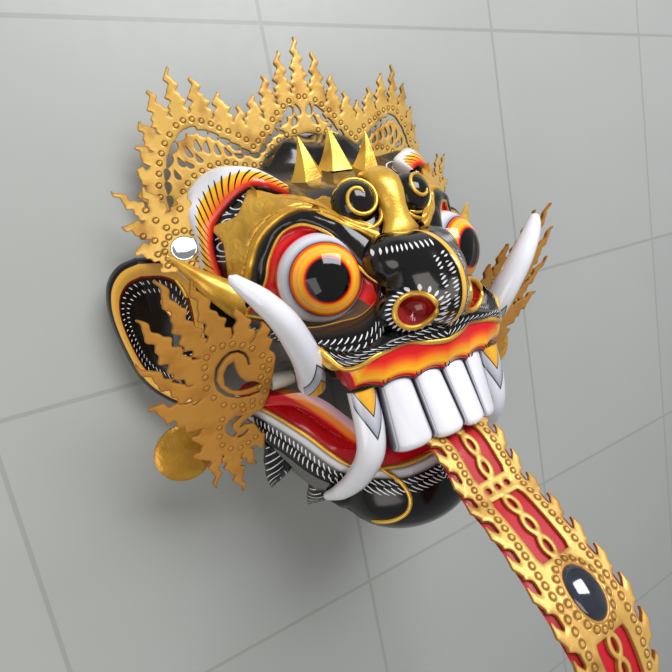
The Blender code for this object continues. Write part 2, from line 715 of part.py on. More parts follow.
def make_tongue():
    def hide_edges(row, rows):
        half = tongue_width(row, rows)
        return [-half, half]

    add_object("tongue", strip_body(hide_edges, -HIDE, 0.0), HIDE_RED, PARTS)

    def fret_edges(row, rows):
        half = tongue_width(row, rows)
        tip = half + (2.5 if row % 2 else -3.5)
        inner = half * 0.52
        link = 4.6 if row % 2 else 2.2
        return [-tip, -inner, -link, link, inner, tip]

    gem_rows = range(18, 23)

    def is_open(row, cell):
        return cell in (1, 3) and row not in gem_rows and row not in (11, 12, 27)

    top = len(tongue_frames()[0]) - 4
    fret = strip_body(fret_edges, GAP, GAP + 2.0, first_row=6, last_row=top, skip=is_open)
    add_object("tongue_fretwork", fret, GILT, PARTS)


def make_tongue_gem():
    """An oval cabochon set on the fretwork half way down the tongue."""
    path, out = tongue_frames()
    row = 20
    centre = Vector(path[row])
    normal = Vector(out[row])
    across = Vector((1, 0, 0))
    along = normal.cross(across)
    profile = [(1.0, 0.0), (1.0, 1.6), (0.8, 4.4), (0.45, 6.4), (0.12, 7.0)]
    rings = []
    for reach, height in profile:
        ring = []
        for k in range(16):
            turn = 2 * math.pi * k / 16
            ring.append(centre + across * 12 * reach * math.cos(turn) + along * 16 * reach * math.sin(turn)
                        + normal * (2.0 + 2 * GAP + 0.4 + height))
        rings.append(ring)
    add_object("tongue_gem", loft(rings), GEM, PARTS)


clear_scene()
PARTS = make_collection("rangda mask")
CUTTERS = make_collection("cutters")
JOINED = make_collection("carved forms")
LACQUER = make_material("lacquered wood", (0.02, 0.018, 0.016), 0.25)
TOOTH = make_material("white lacquer", (0.82, 0.82, 0.84), 0.3)
WOOD = make_material("bare wood", (0.62, 0.55, 0.45), 0.7)
GILT = make_material("gilt leather", (0.78, 0.5, 0.14), 0.4, 0.5)
OCHRE = make_material("ochre gilt leather", (0.62, 0.33, 0.07), 0.45, 0.3)
MIRROR = make_material("mirror glass", (0.9, 0.9, 0.92), 0.05, 1.0)
HIDE_RED = make_material("red hide", (0.55, 0.02, 0.05), 0.7)
GEM = make_material("dark glass gem", (0.02, 0.02, 0.05), 0.08)

make_face()
make_lower_jaw()
make_upper_teeth()
make_tusks()
make_corner_pegs()
make_crown()
make_temple_leaves()
make_ear_leaves()
make_ears()
make_ear_discs()
make_tongue()
make_tongue_gem()
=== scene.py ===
import math

import bmesh
import bpy
import numpy as np
from mathutils import Matrix, Vector


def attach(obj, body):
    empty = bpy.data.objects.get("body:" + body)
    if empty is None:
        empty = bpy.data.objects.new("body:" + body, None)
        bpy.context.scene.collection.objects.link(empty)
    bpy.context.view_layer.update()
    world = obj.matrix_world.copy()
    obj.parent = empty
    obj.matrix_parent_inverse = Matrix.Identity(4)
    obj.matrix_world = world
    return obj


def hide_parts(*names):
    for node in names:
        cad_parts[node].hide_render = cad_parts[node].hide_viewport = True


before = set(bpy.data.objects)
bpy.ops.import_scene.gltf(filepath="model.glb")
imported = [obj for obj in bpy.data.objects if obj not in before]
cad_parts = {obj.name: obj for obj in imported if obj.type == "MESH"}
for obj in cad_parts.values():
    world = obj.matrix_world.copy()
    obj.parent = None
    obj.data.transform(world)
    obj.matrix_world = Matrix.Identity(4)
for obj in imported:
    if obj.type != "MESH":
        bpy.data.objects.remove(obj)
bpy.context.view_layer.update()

mm = 0.001


# Colour and shading helpers

def linear(code):
    parts = [int(code[i:i + 2], 16) / 255 for i in (1, 3, 5)]
    return tuple(c / 12.92 if c <= 0.04045 else ((c + 0.055) / 1.055) ** 2.4 for c in parts) + (1.0,)


def add(tree, kind, feeds=None, **settings):
    node = tree.nodes.new(kind)
    for key, value in settings.items():
        setattr(node, key, value)
    for key, value in (feeds or {}).items():
        if isinstance(value, bpy.types.NodeSocket):
            tree.links.new(value, node.inputs[key])
        else:
            node.inputs[key].default_value = value
    return node


def calc(tree, operation, first, second=0.0, third=0.0):
    return add(tree, "ShaderNodeMath", {0: first, 1: second, 2: third}, operation=operation).outputs[0]


def ramp(tree, factor, stops):
    node = add(tree, "ShaderNodeValToRGB", {0: factor})
    while len(node.color_ramp.elements) > 1:
        node.color_ramp.elements.remove(node.color_ramp.elements[-1])
    for i, (place, code) in enumerate(stops):
        element = node.color_ramp.elements[0] if i == 0 else node.color_ramp.elements.new(place)
        element.position = place
        element.color = linear(code)
    return node.outputs["Color"]


def blend(tree, factor, under, over):
    node = add(tree, "ShaderNodeMix", {0: factor}, data_type="RGBA")
    for slot, value in ((6, under), (7, over)):
        if isinstance(value, str):
            node.inputs[slot].default_value = linear(value)
        else:
            tree.links.new(value, node.inputs[slot])
    return node.outputs[2]


def blank(name, rough, metal=0.0, coat=0.0, ior=1.5):
    material = bpy.data.materials.new(name)
    material.use_nodes = True
    tree = material.node_tree
    shader = tree.nodes["Principled BSDF"]
    shader.inputs["Roughness"].default_value = rough
    shader.inputs["Metallic"].default_value = metal
    shader.inputs["Coat Weight"].default_value = coat
    shader.inputs["Coat Roughness"].default_value = 0.08
    shader.inputs["IOR"].default_value = ior
    shader.inputs["Specular IOR Level"].default_value = 0.4
    return material, tree, shader


def finish(tree, shader, colour, rough, grain=40.0, uneven=0.12, depth=0.00012, height=None):
    # Brush marks: the tone, the gloss and the height wander with one noise in object space.
    place = add(tree, "ShaderNodeTexCoord").outputs["Object"]
    noise = add(tree, "ShaderNodeTexNoise", {"Vector": place, "Scale": grain, "Detail": 4.0}).outputs["Fac"]
    fine = add(tree, "ShaderNodeTexNoise", {"Vector": place, "Scale": grain * 9, "Detail": 2.0}).outputs["Fac"]
    shade = calc(tree, "MULTIPLY_ADD", noise, 2 * uneven, 1 - uneven)
    toned = add(tree, "ShaderNodeVectorMath", {0: colour, 1: add(tree, "ShaderNodeCombineXYZ", {0: shade, 1: shade, 2: shade}).outputs[0]},
        operation="MULTIPLY")
    tree.links.new(toned.outputs[0], shader.inputs["Base Color"])
    tree.links.new(calc(tree, "MULTIPLY_ADD", fine, 0.16, rough - 0.08), shader.inputs["Roughness"])
    bumps = calc(tree, "ADD", noise, calc(tree, "MULTIPLY", fine, 0.3))
    if height is not None:
        bumps = calc(tree, "MULTIPLY_ADD", height, 4.0, bumps)
    bump = add(tree, "ShaderNodeBump", {"Strength": 1.0, "Distance": depth, "Height": bumps})
    tree.links.new(bump.outputs[0], shader.inputs["Normal"])


def commas(tree, along, across, low, high, lean, width):
    # Brush strokes side by side, each widest in its middle: 1 inside a stroke and 0 outside.
    part = calc(tree, "DIVIDE", calc(tree, "SUBTRACT", across, low), high - low)
    away = calc(tree, "ABSOLUTE", calc(tree, "SUBTRACT", calc(tree, "FRACT", calc(tree, "MULTIPLY_ADD", part, lean, along)), 0.5))
    bulge = calc(tree, "MAXIMUM", calc(tree, "MULTIPLY", part, calc(tree, "SUBTRACT", 1.0, part)), 0.0)
    return calc(tree, "LESS_THAN", away, calc(tree, "MULTIPLY", bulge, width))


def lacquer(name, stops, strokes=(), rough=0.2, grain=30.0, mark="#ECECF0"):
    # Oil paint under clear lacquer: bands run across the piece, brush strokes stand side by side along it.
    material, tree, shader = blank(name, rough, coat=0.12)
    place = add(tree, "ShaderNodeUVMap", uv_map="paint").outputs[0]
    split = add(tree, "ShaderNodeSeparateXYZ", {0: place})
    along, across = split.outputs[0], split.outputs[1]
    colour = ramp(tree, across, stops)
    for stroke in strokes:
        low, high, period, width = stroke["from"], stroke["to"], stroke["step"], stroke["width"]
        part = calc(tree, "DIVIDE", calc(tree, "SUBTRACT", across, low), high - low)
        bent = calc(tree, "MULTIPLY", part, calc(tree, "MULTIPLY_ADD", part, stroke.get("curl", 0.0), stroke.get("lean", 0.3)))
        phase = calc(tree, "FRACT", calc(tree, "ADD", calc(tree, "DIVIDE", along, period), bent))
        away = calc(tree, "ABSOLUTE", calc(tree, "SUBTRACT", phase, 0.5))
        taper = calc(tree, "MULTIPLY", calc(tree, "SQRT", calc(tree, "MAXIMUM", calc(tree, "MULTIPLY", part, calc(tree, "SUBTRACT", 1.0, part)),
            0.0)), 2 * width)
        inside = calc(tree, "LESS_THAN", away, taper)
        colour = blend(tree, inside, colour, stroke.get("colour", mark))
    finish(tree, shader, colour, rough, grain)
    return material


def gilt(name, light, dark, rough=0.36, metal=0.55, grain=60.0, depth=0.00025, tooled=0.0):
    # Gold paint rubbed over hide or carving: brighter and browner in patches, and browner in the tooled hollows where
    # there are any.
    material, tree, shader = blank(name, rough, metal)
    place = add(tree, "ShaderNodeTexCoord").outputs["Object"]
    patch = add(tree, "ShaderNodeTexNoise", {"Vector": place, "Scale": grain * 0.5, "Detail": 5.0}).outputs["Fac"]
    colour = ramp(tree, patch, [(0.3, dark), (0.55, light), (0.8, light)])
    height = None
    if tooled:
        cells = add(tree, "ShaderNodeTexVoronoi", {"Vector": place, "Scale": tooled}, feature="SMOOTH_F1").outputs["Distance"]
        height = calc(tree, "PINGPONG", cells, 0.22)
        colour = blend(tree, calc(tree, "MULTIPLY", calc(tree, "LESS_THAN", height, 0.03), 0.3), colour, dark)
    finish(tree, shader, colour, rough, grain, 0.1, depth, height)
    return material


def punched(name, light, dark, rough=0.38, metal=0.5, cut=0.8):
    # Gilded rawhide: each punched ring is a groove darkened with painted shade, and the cut edges are browner.
    material, tree, shader = blank(name, rough, metal)
    ring = add(tree, "ShaderNodeAttribute", attribute_name="ring").outputs["Fac"]
    edge = add(tree, "ShaderNodeAttribute", attribute_name="edge").outputs["Fac"]
    place = add(tree, "ShaderNodeTexCoord").outputs["Object"]
    patch = add(tree, "ShaderNodeTexNoise", {"Vector": place, "Scale": 45.0, "Detail": 5.0}).outputs["Fac"]
    colour = ramp(tree, patch, [(0.3, dark), (0.5, light), (0.75, light)])
    # Painted shade: the ring grooves are darkened towards brown, and cut sets how dark; the same groove also dents the
    # bump.
    grooveBumpAndShade = calc(tree, "SUBTRACT", 1.0, calc(tree, "DIVIDE", calc(tree, "ABSOLUTE", calc(tree, "SUBTRACT", ring, 2.0)), 0.95))
    grooveBumpAndShade = calc(tree, "MAXIMUM", grooveBumpAndShade, 0.0)
    colour = blend(tree, calc(tree, "MULTIPLY", grooveBumpAndShade, cut), colour, "#7A4A14")
    rim = calc(tree, "LESS_THAN", edge, 0.55)
    colour = blend(tree, calc(tree, "MULTIPLY", rim, 0.6), colour, "#8A5518")
    finish(tree, shader, colour, rough, 70.0, 0.08, 0.0003, calc(tree, "MULTIPLY", grooveBumpAndShade, -0.5))
    return material


# Shape helpers

def piece(name, points, faces, material, nodes, paint=None, marks=None):
    name = name.replace(" ", "_")
    mesh = bpy.data.meshes.new(name)
    points = np.asarray(points, float)
    mesh.from_pydata((points * mm).tolist(), [], [list(map(int, f)) for f in faces])
    mesh.polygons.foreach_set("use_smooth", [True] * len(mesh.polygons))
    if paint is not None:
        corner = np.empty(len(mesh.loops), int)
        mesh.loops.foreach_get("vertex_index", corner)
        layer = mesh.uv_layers.new(name="paint")
        layer.data.foreach_set("uv", np.asarray(paint, np.float32)[corner].ravel())
    for key, values in (marks or {}).items():
        mesh.attributes.new(key, "FLOAT", "POINT").data.foreach_set("value", np.asarray(values, np.float32))
    mesh.materials.append(material)
    mesh.update()
    obj = bpy.data.objects.new(name, mesh)
    bpy.context.scene.collection.objects.link(obj)
    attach(obj, "root")
    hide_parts(*nodes)
    return obj


def quads(rows, columns, turn=False):
    i, j = np.meshgrid(np.arange(rows - 1), np.arange(columns - 1), indexing="ij")
    a = (i * columns + j).ravel()
    face = np.stack([a, a + 1, a + columns + 1, a + columns], axis=1)
    return face[:, ::-1] if turn else face


def facing(points, faces, inner=None):
    # Turns the faces so that they look away from an inner point, or up if there is none.
    corners = points[faces[:, :3]]
    normal = np.cross(corners[:, 1] - corners[:, 0], corners[:, 2] - corners[:, 0])
    away = (corners.mean(1) - np.asarray(inner, float)) if inner is not None else np.array([[0, 0, 1.0]])
    return faces[:, ::-1] if (normal * away).sum() < 0 else faces


def smoothLine(points, count):
    # A Catmull-Rom curve through the points, resampled at even distances.
    pts = np.asarray(points, float)
    pad = np.vstack([2 * pts[0] - pts[1], pts, 2 * pts[-1] - pts[-2]])
    fine = []
    for i in range(len(pts) - 1):
        a, b, c, d = pad[i:i + 4]
        t = np.linspace(0, 1, 16, endpoint=False)[:, None]
        fine.append(0.5 * (2 * b + (c - a) * t + (2 * a - 5 * b + 4 * c - d) * t * t + (3 * b - a - 3 * c + d) * t ** 3))
    fine = np.vstack(fine + [pts[-1:]])
    length = np.r_[0, np.cumsum(np.linalg.norm(np.diff(fine, axis=0), axis=1))]
    where = np.linspace(0, length[-1], count)
    return np.stack([np.interp(where, length, fine[:, k]) for k in range(fine.shape[1])], axis=1)


def lengths(line):
    return np.r_[0, np.cumsum(np.linalg.norm(np.diff(line, axis=0), axis=1))]


def horn(name, path, sizes, material, nodes, count=60, sides=28):
    # A swept body: oval rings square to the path, closed by its first and last rings.
    line = smoothLine(path, count)
    run = lengths(np.asarray(path, float))
    share = run / run[-1] if len(sizes) == len(path) else np.linspace(0, 1, len(sizes))
    where = lengths(line) / lengths(line)[-1]
    size = np.stack([np.interp(where, share, [s[k] for s in sizes]) for k in (0, 1)], axis=1)
    ahead = np.gradient(line, axis=0)
    ahead /= np.linalg.norm(ahead, axis=1)[:, None]
    side = np.cross(ahead, [0.0, 0.0, 1.0])
    side /= np.linalg.norm(side, axis=1)[:, None]
    over = np.cross(side, ahead)
    turn = np.linspace(0, 2 * math.pi, sides + 1)
    rings = (line[:, None] + side[:, None] * (size[:, :1] * np.cos(turn))[:, :, None]
             + over[:, None] * (size[:, 1:2] * np.sin(turn))[:, :, None])
    points = rings.reshape(-1, 3)
    columns = sides + 1
    faces = quads(count, columns)
    corner = points[faces[:, :3]]
    normal = np.cross(corner[:, 1] - corner[:, 0], corner[:, 2] - corner[:, 0])
    middle = line[faces[:, 0] // columns]
    if (normal * (corner.mean(1) - middle)).sum() < 0:
        faces = faces[:, ::-1]
    ends = [list(range(columns - 1)), list(range((count - 1) * columns, count * columns - 1))]
    turned = faces[0][1] > faces[0][0]
    faces = [list(f) for f in faces]
    faces.append(ends[0][::-1] if turned else ends[0])
    faces.append(ends[1] if turned else ends[1][::-1])
    paint = np.stack([np.repeat(lengths(line), columns), np.tile(turn / (2 * math.pi), count)], axis=1)
    return piece(name, points, faces, material, nodes, paint)


def bead(name, path, radius, material, node, count=None, sides=10):
    # A thin round line with pinched ends.
    line = np.asarray(path, float)
    count = count or max(12, int(lengths(smoothLine(line, 40))[-1] / 2.2))
    end = (radius * 0.4, radius * 0.4)
    ends = [end] + [(radius, radius)] * 24 + [end]
    return horn(name, line, ends, material, (node,), count, sides)


def contourDistance(x, y, loops):
    # Distance to the nearest outline, negative inside by the even-odd rule.
    best = np.full(x.shape, 1e9)
    inside = np.zeros(x.shape, bool)
    for loop in loops:
        start = np.asarray(loop, float)
        end = np.roll(start, -1, axis=0)
        for (x0, y0), (x1, y1) in zip(start, end):
            dx, dy = x1 - x0, y1 - y0
            t = np.clip(((x - x0) * dx + (y - y0) * dy) / (dx * dx + dy * dy + 1e-12), 0, 1)
            best = np.minimum(best, (x - x0 - t * dx) ** 2 + (y - y0 - t * dy) ** 2)
            if dy:
                inside ^= ((y0 > y) != (y1 > y)) & (x < (y - y0) * dx / dy + x0)
    return np.where(inside, -1, 1) * np.sqrt(best)


def cutSheet(name, loops, lay, thick, material, node, step=0.8, rings=(), relief=None, swell=0.0):
    # A plate cut along its outlines: a fine grid whose border points are moved on to the outline.
    outline = np.asarray(loops[0], float)
    low, high = outline.min(0) - step, outline.max(0) + step
    gx = np.arange(low[0], high[0] + step, step)
    gy = np.arange(low[1], high[1] + step, step)
    x, y = np.meshgrid(gx, gy, indexing="ij")
    gap = contourDistance(x, y, loops)
    middle = (gap[:-1, :-1] + gap[1:, :-1] + gap[:-1, 1:] + gap[1:, 1:]) / 4
    kept = middle < 0
    ii, jj = np.nonzero(kept)
    columns = x.shape[1]
    cells = np.stack([ii * columns + jj, (ii + 1) * columns + jj, (ii + 1) * columns + jj + 1, ii * columns + jj + 1], axis=1)
    edges = np.concatenate([cells[:, [k, (k + 1) % 4]] for k in range(4)])
    keys = np.sort(edges, axis=1)
    _, first, counts = np.unique(keys, axis=0, return_index=True, return_counts=True)
    border = edges[first[counts == 1]]
    flatX, flatY = x.ravel().copy(), y.ravel().copy()
    rim = np.unique(border)
    for _ in range(2):
        bx, by = flatX[rim], flatY[rim]
        d = contourDistance(bx, by, loops)
        gxd = (contourDistance(bx + 0.05, by, loops) - d) / 0.05
        gyd = (contourDistance(bx, by + 0.05, loops) - d) / 0.05
        size = np.maximum(np.hypot(gxd, gyd), 0.3)
        flatX[rim] -= d * gxd / size
        flatY[rim] -= d * gyd / size
    used = np.unique(cells)
    index = np.full(x.size, -1)
    index[used] = np.arange(len(used))
    px, py = flatX[used], flatY[used]
    inner = np.maximum(-gap.ravel()[used], 0)
    inner[index[rim]] = 0
    ring = np.full(len(used), 99.0)
    for cx, cy in rings:
        ring = np.minimum(ring, np.hypot(px - cx, py - cy))
    top = lay(px, py, thick + (relief(px, py) if relief else 0.0) + swell * np.minimum(inner, 2.0)
              + 0.5 * np.exp(-((ring - 1.1) / 0.8) ** 2))
    bottom = lay(px, py, np.zeros(len(px)))
    count = len(used)
    faces = np.vstack([index[cells], index[cells][:, ::-1] + count])
    b = index[border]
    walls = np.stack([b[:, 1], b[:, 0], b[:, 0] + count, b[:, 1] + count], axis=1)
    points = np.vstack([top, bottom])
    sample = points[faces[:count // 2 or 1]]
    normal = np.cross(sample[:, 1] - sample[:, 0], sample[:, 2] - sample[:, 0]).sum(0)
    faces = np.vstack([faces, walls])
    if (normal * (top - bottom).mean(0)).sum() < 0:
        faces = faces[:, ::-1]
    marks = {"ring": np.r_[ring, np.full(count, 99.0)], "edge": np.r_[inner, np.zeros(count)]}
    paint = np.tile(np.stack([px, py], axis=1), (2, 1))
    obj = piece(name, points, faces, material, (node,), paint, marks)
    obj.data.set_sharp_from_angle(angle=math.radians(50))
    return obj


def flame(valley, tip, after, bend=1.0, wave=12.5):
    # One tongue of fire: it narrows to its tip, and both of its edges ripple together.
    base, point, end = (np.asarray(p, float) for p in (valley, tip, after))
    foot = (base + end) / 2
    axis = point - foot
    length = np.linalg.norm(axis)
    across = np.array([axis[1], -axis[0]]) / length
    half = np.linalg.norm(end - base) / 2
    count = max(10, int(length / 1.15))
    t = np.linspace(0, 1, count + 2)[1:-1]
    sway = bend * 1.5 * np.sin(2 * math.pi * t * length / wave + 0.8) * np.clip(4 * t, 0, 1)
    width = half * (1 - t) ** 0.95 * (0.92 + 0.2 * np.cos(4 * math.pi * t * length / wave)) + 0.5
    rising = [foot + axis * s - across * (w - v) for s, w, v in zip(t, width, sway)]
    falling = [foot + axis * s + across * (w + v) for s, w, v in zip(t[::-1], width[::-1], sway[::-1])]
    return rising + [point] + falling


def flames(start, row, bend=1.0, wave=12.5):
    line = [np.asarray(start, float)]
    for tip, valley in row:
        line.extend(flame(line[-1], tip, valley, bend, wave))
        line.append(np.asarray(valley, float))
    return [tuple(p) for p in line]


def slit(x, y, turn, long, wide, bow=0.0):
    # A teardrop cut, bowed sideways like a comma.
    t = np.linspace(0, 2 * math.pi, 15)[:-1]
    u = long * np.cos(t)
    v = 1.15 * wide * np.sin(t) * (1.1 - 0.55 * np.cos(t)) + bow * (u / long) ** 2
    a = math.radians(turn)
    return [(x + p * math.cos(a) - q * math.sin(a), y + p * math.sin(a) + q * math.cos(a)) for p, q in zip(u, v)]


def both(points):
    return list(points) + [(-x, y) for x, y in points]


print("helpers ready")


# Leather: crown, temple leaves, ear leaves

# Punched and gilded rawhide, its gold painted as it looks in direct light
crownGold = punched("crown gold paint on punched rawhide", "#E2B65E", "#B5823A", 0.42, 0.4, 0.95)
# The ear leaves get a shaded copy of the same gold: browner and flatter, as painted shade
leafGoldInShade = punched("shaded copy of the punched rawhide gold, for the ear leaves", "#D0923C", "#B87C2E", 0.45, 0.25, 0.3)
# Silvered glass
mirrorGlass, tree, shader = blank("silvered mirror glass", 0.03, 1.0)
finish(tree, shader, ramp(tree, add(tree, "ShaderNodeTexCoord").outputs["Object"], [(0.0, "#E8ECF0"), (1.0, "#F6F8FA")]), 0.09, 20.0, 0.03, 0.00002)

crown = {
    "outline": [(186, 0), (184, 22), (174, 38), (160, 50), (159, 64), (161, 80), (158, 96), (150, 109), (139, 117), (122, 118), (108, 116)],
    "flames": [((17, 254), (25, 216)), ((33, 236), (38, 204)), ((45, 221), (55, 198)), ((58, 214), (65, 201)), ((75, 225), (81, 208)),
               ((92, 238), (99, 213)), ((110, 247), (114, 213)), ((126, 232), (126, 201)), ((137, 211), (133, 188)), ((143, 194), (137, 177)),
               ((147, 175), (141, 162)), ((150, 154), (141, 146))],
    "rings": [(3, 217), (13, 214), (19, 210), (26, 205), (31, 200), (37, 194), (42, 189), (47, 184), (52, 180), (57, 186), (63, 190), (71, 194),
              (78, 197), (84, 201), (91, 204), (98, 206), (105, 206), (111, 203), (117, 197), (122, 191), (126, 184), (129, 177), (131, 169),
              (133, 160), (134, 151), (134, 142), (133, 133), (130, 124), (12, 189), (20, 187), (28, 183), (35, 178), (41, 171), (47, 165), (54,
              165), (62, 166), (70, 168), (77, 170),
              (84, 170), (91, 169), (98, 166), (105, 163), (111, 158), (116, 152), (120, 145), (122, 137), (122, 129), (122, 121)],
    "cuts": [(15, 205, -25, 6, 2.6, 1.5), (6, 207, 75, 5, 2.2, 0), (10, 197, -60, 4.5, 1.6, 1.2), (20, 198, -45, 5, 1.7, 1), (26, 195, -35, 4.5, 1.6,
    1),
             (30, 189, -45, 5, 1.8, 1), (37, 184, -50, 5, 1.7, 1), (25, 190, 30, 3.5, 1.3, 0.8), (44, 177, -40, 5, 1.6, 1), (52, 173, 10, 5, 1.7, 1),
             (60, 177, 35, 5.5, 1.8, 1), (68, 182, 35, 5.5, 2, 1), (66, 174, 20, 4, 1.4, 1), (76, 187, 30, 5.5, 2, 1), (75, 178, 60, 4.2, 1.4, 1),
             (84, 192, 40, 5.5, 2.1, 1), (83, 181, 80, 4.6, 1.5, 1), (92, 195, 20, 5.5, 2.2, 1), (91, 184, 90, 5, 1.6, 1), (101, 198, 0, 5.5, 2.2, 1),
             (98, 186, 80, 5, 1.6, 1), (99, 176, 60, 4, 1.4, 1), (109, 194, -35, 5.5, 2, 1), (106, 182, 70, 5, 1.5, 1), (107, 172, 45, 4, 1.4, 1),
             (116, 186, -50, 5.5, 2, 1), (113, 175, 60, 4.6, 1.5, 1), (121, 177, -65, 5.5, 1.9, 1), (118, 166, 70, 4.4, 1.4, 1), (125, 167, -75, 5,
             1.8, 1),
             (126, 157, -85, 5, 1.8, 1), (127, 146, -85, 5, 1.7, 1), (127, 135, -90, 5, 1.6, 1)],
}


def crownLay(x, y, h):
    # The sheet bows back towards its sides and its foot.
    return np.stack([x, y, 55.5 - 0.1 * (265 - y) - 0.0006 * x ** 2 - 3e-8 * x ** 4 + h], axis=1)


half = flames((9, 222), crown["flames"]) + [(140, 128), (133, 112)] + [(x + 1.2, y + 0.3) for y, x in crown["outline"][:0:-1]]
top = [tuple(p) for p in flame((-9, 222), (0, 265), (9, 222))]
loops = [top + half + [(0, 188)] + [(-x, y) for x, y in half[::-1]]]
for cut in crown["cuts"]:
    loops.append(slit(*cut))
    loops.append([(-x, y) for x, y in slit(*cut)])
cutSheet("crown leather", loops, crownLay, 2.4, crownGold, "crown", 0.85, both(crown["rings"]), swell=0.22)
print("crown cut")

temple = {
    "flames": [((121, 148), (136, 138)), ((150, 158), (148, 142)), ((171, 160), (155, 133)), ((170, 132), (154, 118)),
               ((166, 110), (150, 100)), ((150, 90), (139, 90))],
    "inner": [(124, 88), (119.5, 100), (120, 122)],
}


def templeLay(x, y, h):
    return np.stack([x, y, 62 - 0.62 * (np.abs(x) - 118) + 0.03 * (y - 100) + h], axis=1)


earLeaf = {
    "flames": [((109, 45), (115, 36)), ((126, 60), (131, 41)), ((155, 84), (148, 43)), ((174, 88), (163, 34)), ((189, 66), (164, 12)),
               ((196, 37), (168, -2)), ((193, 3), (158, -27)), ((168, -34), (160, -42)), ((169, -52), (157, -58)), ((154, -90), (146, -57)),
               ((131.5, -104), (132, -67)), ((119, -79), (122, -61)), ((112, -63), (114, -48))],
    "end": [(119, -37), (127, -35), (131, -37), (129, -33), (121, -29), (112, -26), (107, -16), (105, -9), (103, 0), (101, 9), (100, 15), (101, 19)],
    "cuts": [[(131, 21), (136, 19), (139.6, 12.5), (139.3, 4), (134, -2), (127.5, -4.5), (118.7, -4.6), (112, -3), (117, 0.2), (123.8, 2.2), (127.8,
    7.6), (130, 14)],
             [(119.8, 15), (120.2, 20.4), (122.4, 25.1), (127.4, 28.7), (133.5, 29.1), (139.3, 25.9), (144.5, 19.6), (146.5, 10), (144.8, 1.8),
             (139.5, -4.8),
              (131.2, -9.4), (121.3, -11), (113, -9.8), (113, -8.8), (122.3, -9.2), (131, -7.6), (137.8, -3.1), (142.6, 3), (144.6, 9.6), (142.6,
              17.8), (137.8, 24),
              (133.1, 27.2), (128, 27), (124, 24.2), (122, 20.4), (121.2, 15)],
             [(136, -43.5), (140.6, -39.1), (141.8, -33.2), (138.6, -27.8), (133, -25.6), (128, -26.4), (132, -29), (136, -31.5), (136.8, -36),
             (133.5, -41)],
             [(133, -46), (128, -45), (124, -41.5), (124.5, -40.5), (128.5, -43), (133, -44)]],
    "rings": [(144.7, 34), (138.1, 34.5), (131.2, 33.8), (124.2, 31), (117.5, 26.8), (149.5, 28.9), (151.7, 21.8), (152.1, 14.1), (152.1, 5.4),
              (147.9, -3.9), (141.2, -12.4), (133.9, -16), (127.3, -17.3), (119.3, -16.2), (143.4, -24.5), (146.2, -31.3), (146.9, -39.2), (145.5,
              -48.1),
              (139.2, -54.1), (131.2, -56.4), (124.6, -54.1), (118.4, -50.8), (126.5, -21.8), (119.5, -21), (112, -19.5), (109, -11), (113, -6),
              (107, -3),
              (112, 2), (106, 6), (110, 10), (105, 14), (110, 19)],
}


def earLeafLay(x, y, h):
    # A flat leaf that leans forward at its top.
    return np.stack([x, y, 118.8 - 0.07 * (np.abs(x) - 100) + 0.5 * (y - 4) + h], axis=1)


for side, label in ((-1, "left"), (1, "right")):
    loop = flames(temple["inner"][-1], temple["flames"], 0.8) + temple["inner"][:-1]
    rings = [(side * (131.5 + 13.5 * math.cos(a)), 106 + 13.5 * math.sin(a)) for a in np.linspace(0, 2 * math.pi, 15)[:-1]]
    rings += [(side * x, y) for x, y in ((140, 124), (146, 131), (151, 140), (133, 128), (128, 136), (150, 116), (157, 121), (150, 105), (145, 95))]
    cutSheet("temple leaf leather", [[(side * x, y) for x, y in loop]], templeLay, 2.6, crownGold, "temple_leaf_" + label, 0.8,
        rings, swell=0.22)
    turn = np.linspace(0, 2 * math.pi, 49)
    rows = []
    for reach, height in ((9.5, 3.3), (9.6, 4.6), (8.9, 5.4), (8.2, 5.0), (0.01, 5.3)):
        rows.append(templeLay(side * (131.5 + reach * np.cos(turn)), 106 + reach * np.sin(turn), height))
    points = np.vstack(rows)
    piece("temple mirror", points, facing(points, quads(5, 49)), mirrorGlass, ("temple_mirror_" + label,))

    loop = flames((105, 23), earLeaf["flames"], 0.95, 17.0) + earLeaf["end"]
    loops = [[(side * x, y) for x, y in one] for one in [loop] + earLeaf["cuts"]]
    cutSheet("ear leaf leather", loops, earLeafLay, 2.8, leafGoldInShade, "ear_leaf_" + label, 0.8,
             [(side * x, y) for x, y in earLeaf["rings"]], swell=0.2)
print("leaves cut")

# Teeth and tusks

# White lacquer over wood, with the grey grooves and outlines painted on
toothWhite = lacquer("white lacquer on carved teeth", [(0, "#3A3A42"), (0.02, "#6A6C76"), (0.05, "#C9C9D0"), (0.07, "#8E909A"), (0.09, "#C9C9D0"),
    (0.16, "#D9D9DF"), (0.5, "#E1E1E6"),
                                                      (0.86, "#D9D9DF"), (0.92, "#A9A9B2"), (0.97, "#6A6C76"), (1, "#3A3A42")], rough=0.16,
                                                      grain=25.0)


def gumEdge(x):
    # The gum arches up over each tooth and comes down between two teeth.
    return -14 + 3.8 * np.abs(np.sin(math.pi * x / 24)) ** 0.75 + 16 * np.clip((np.abs(x) - 69) / 4, 0, 1)


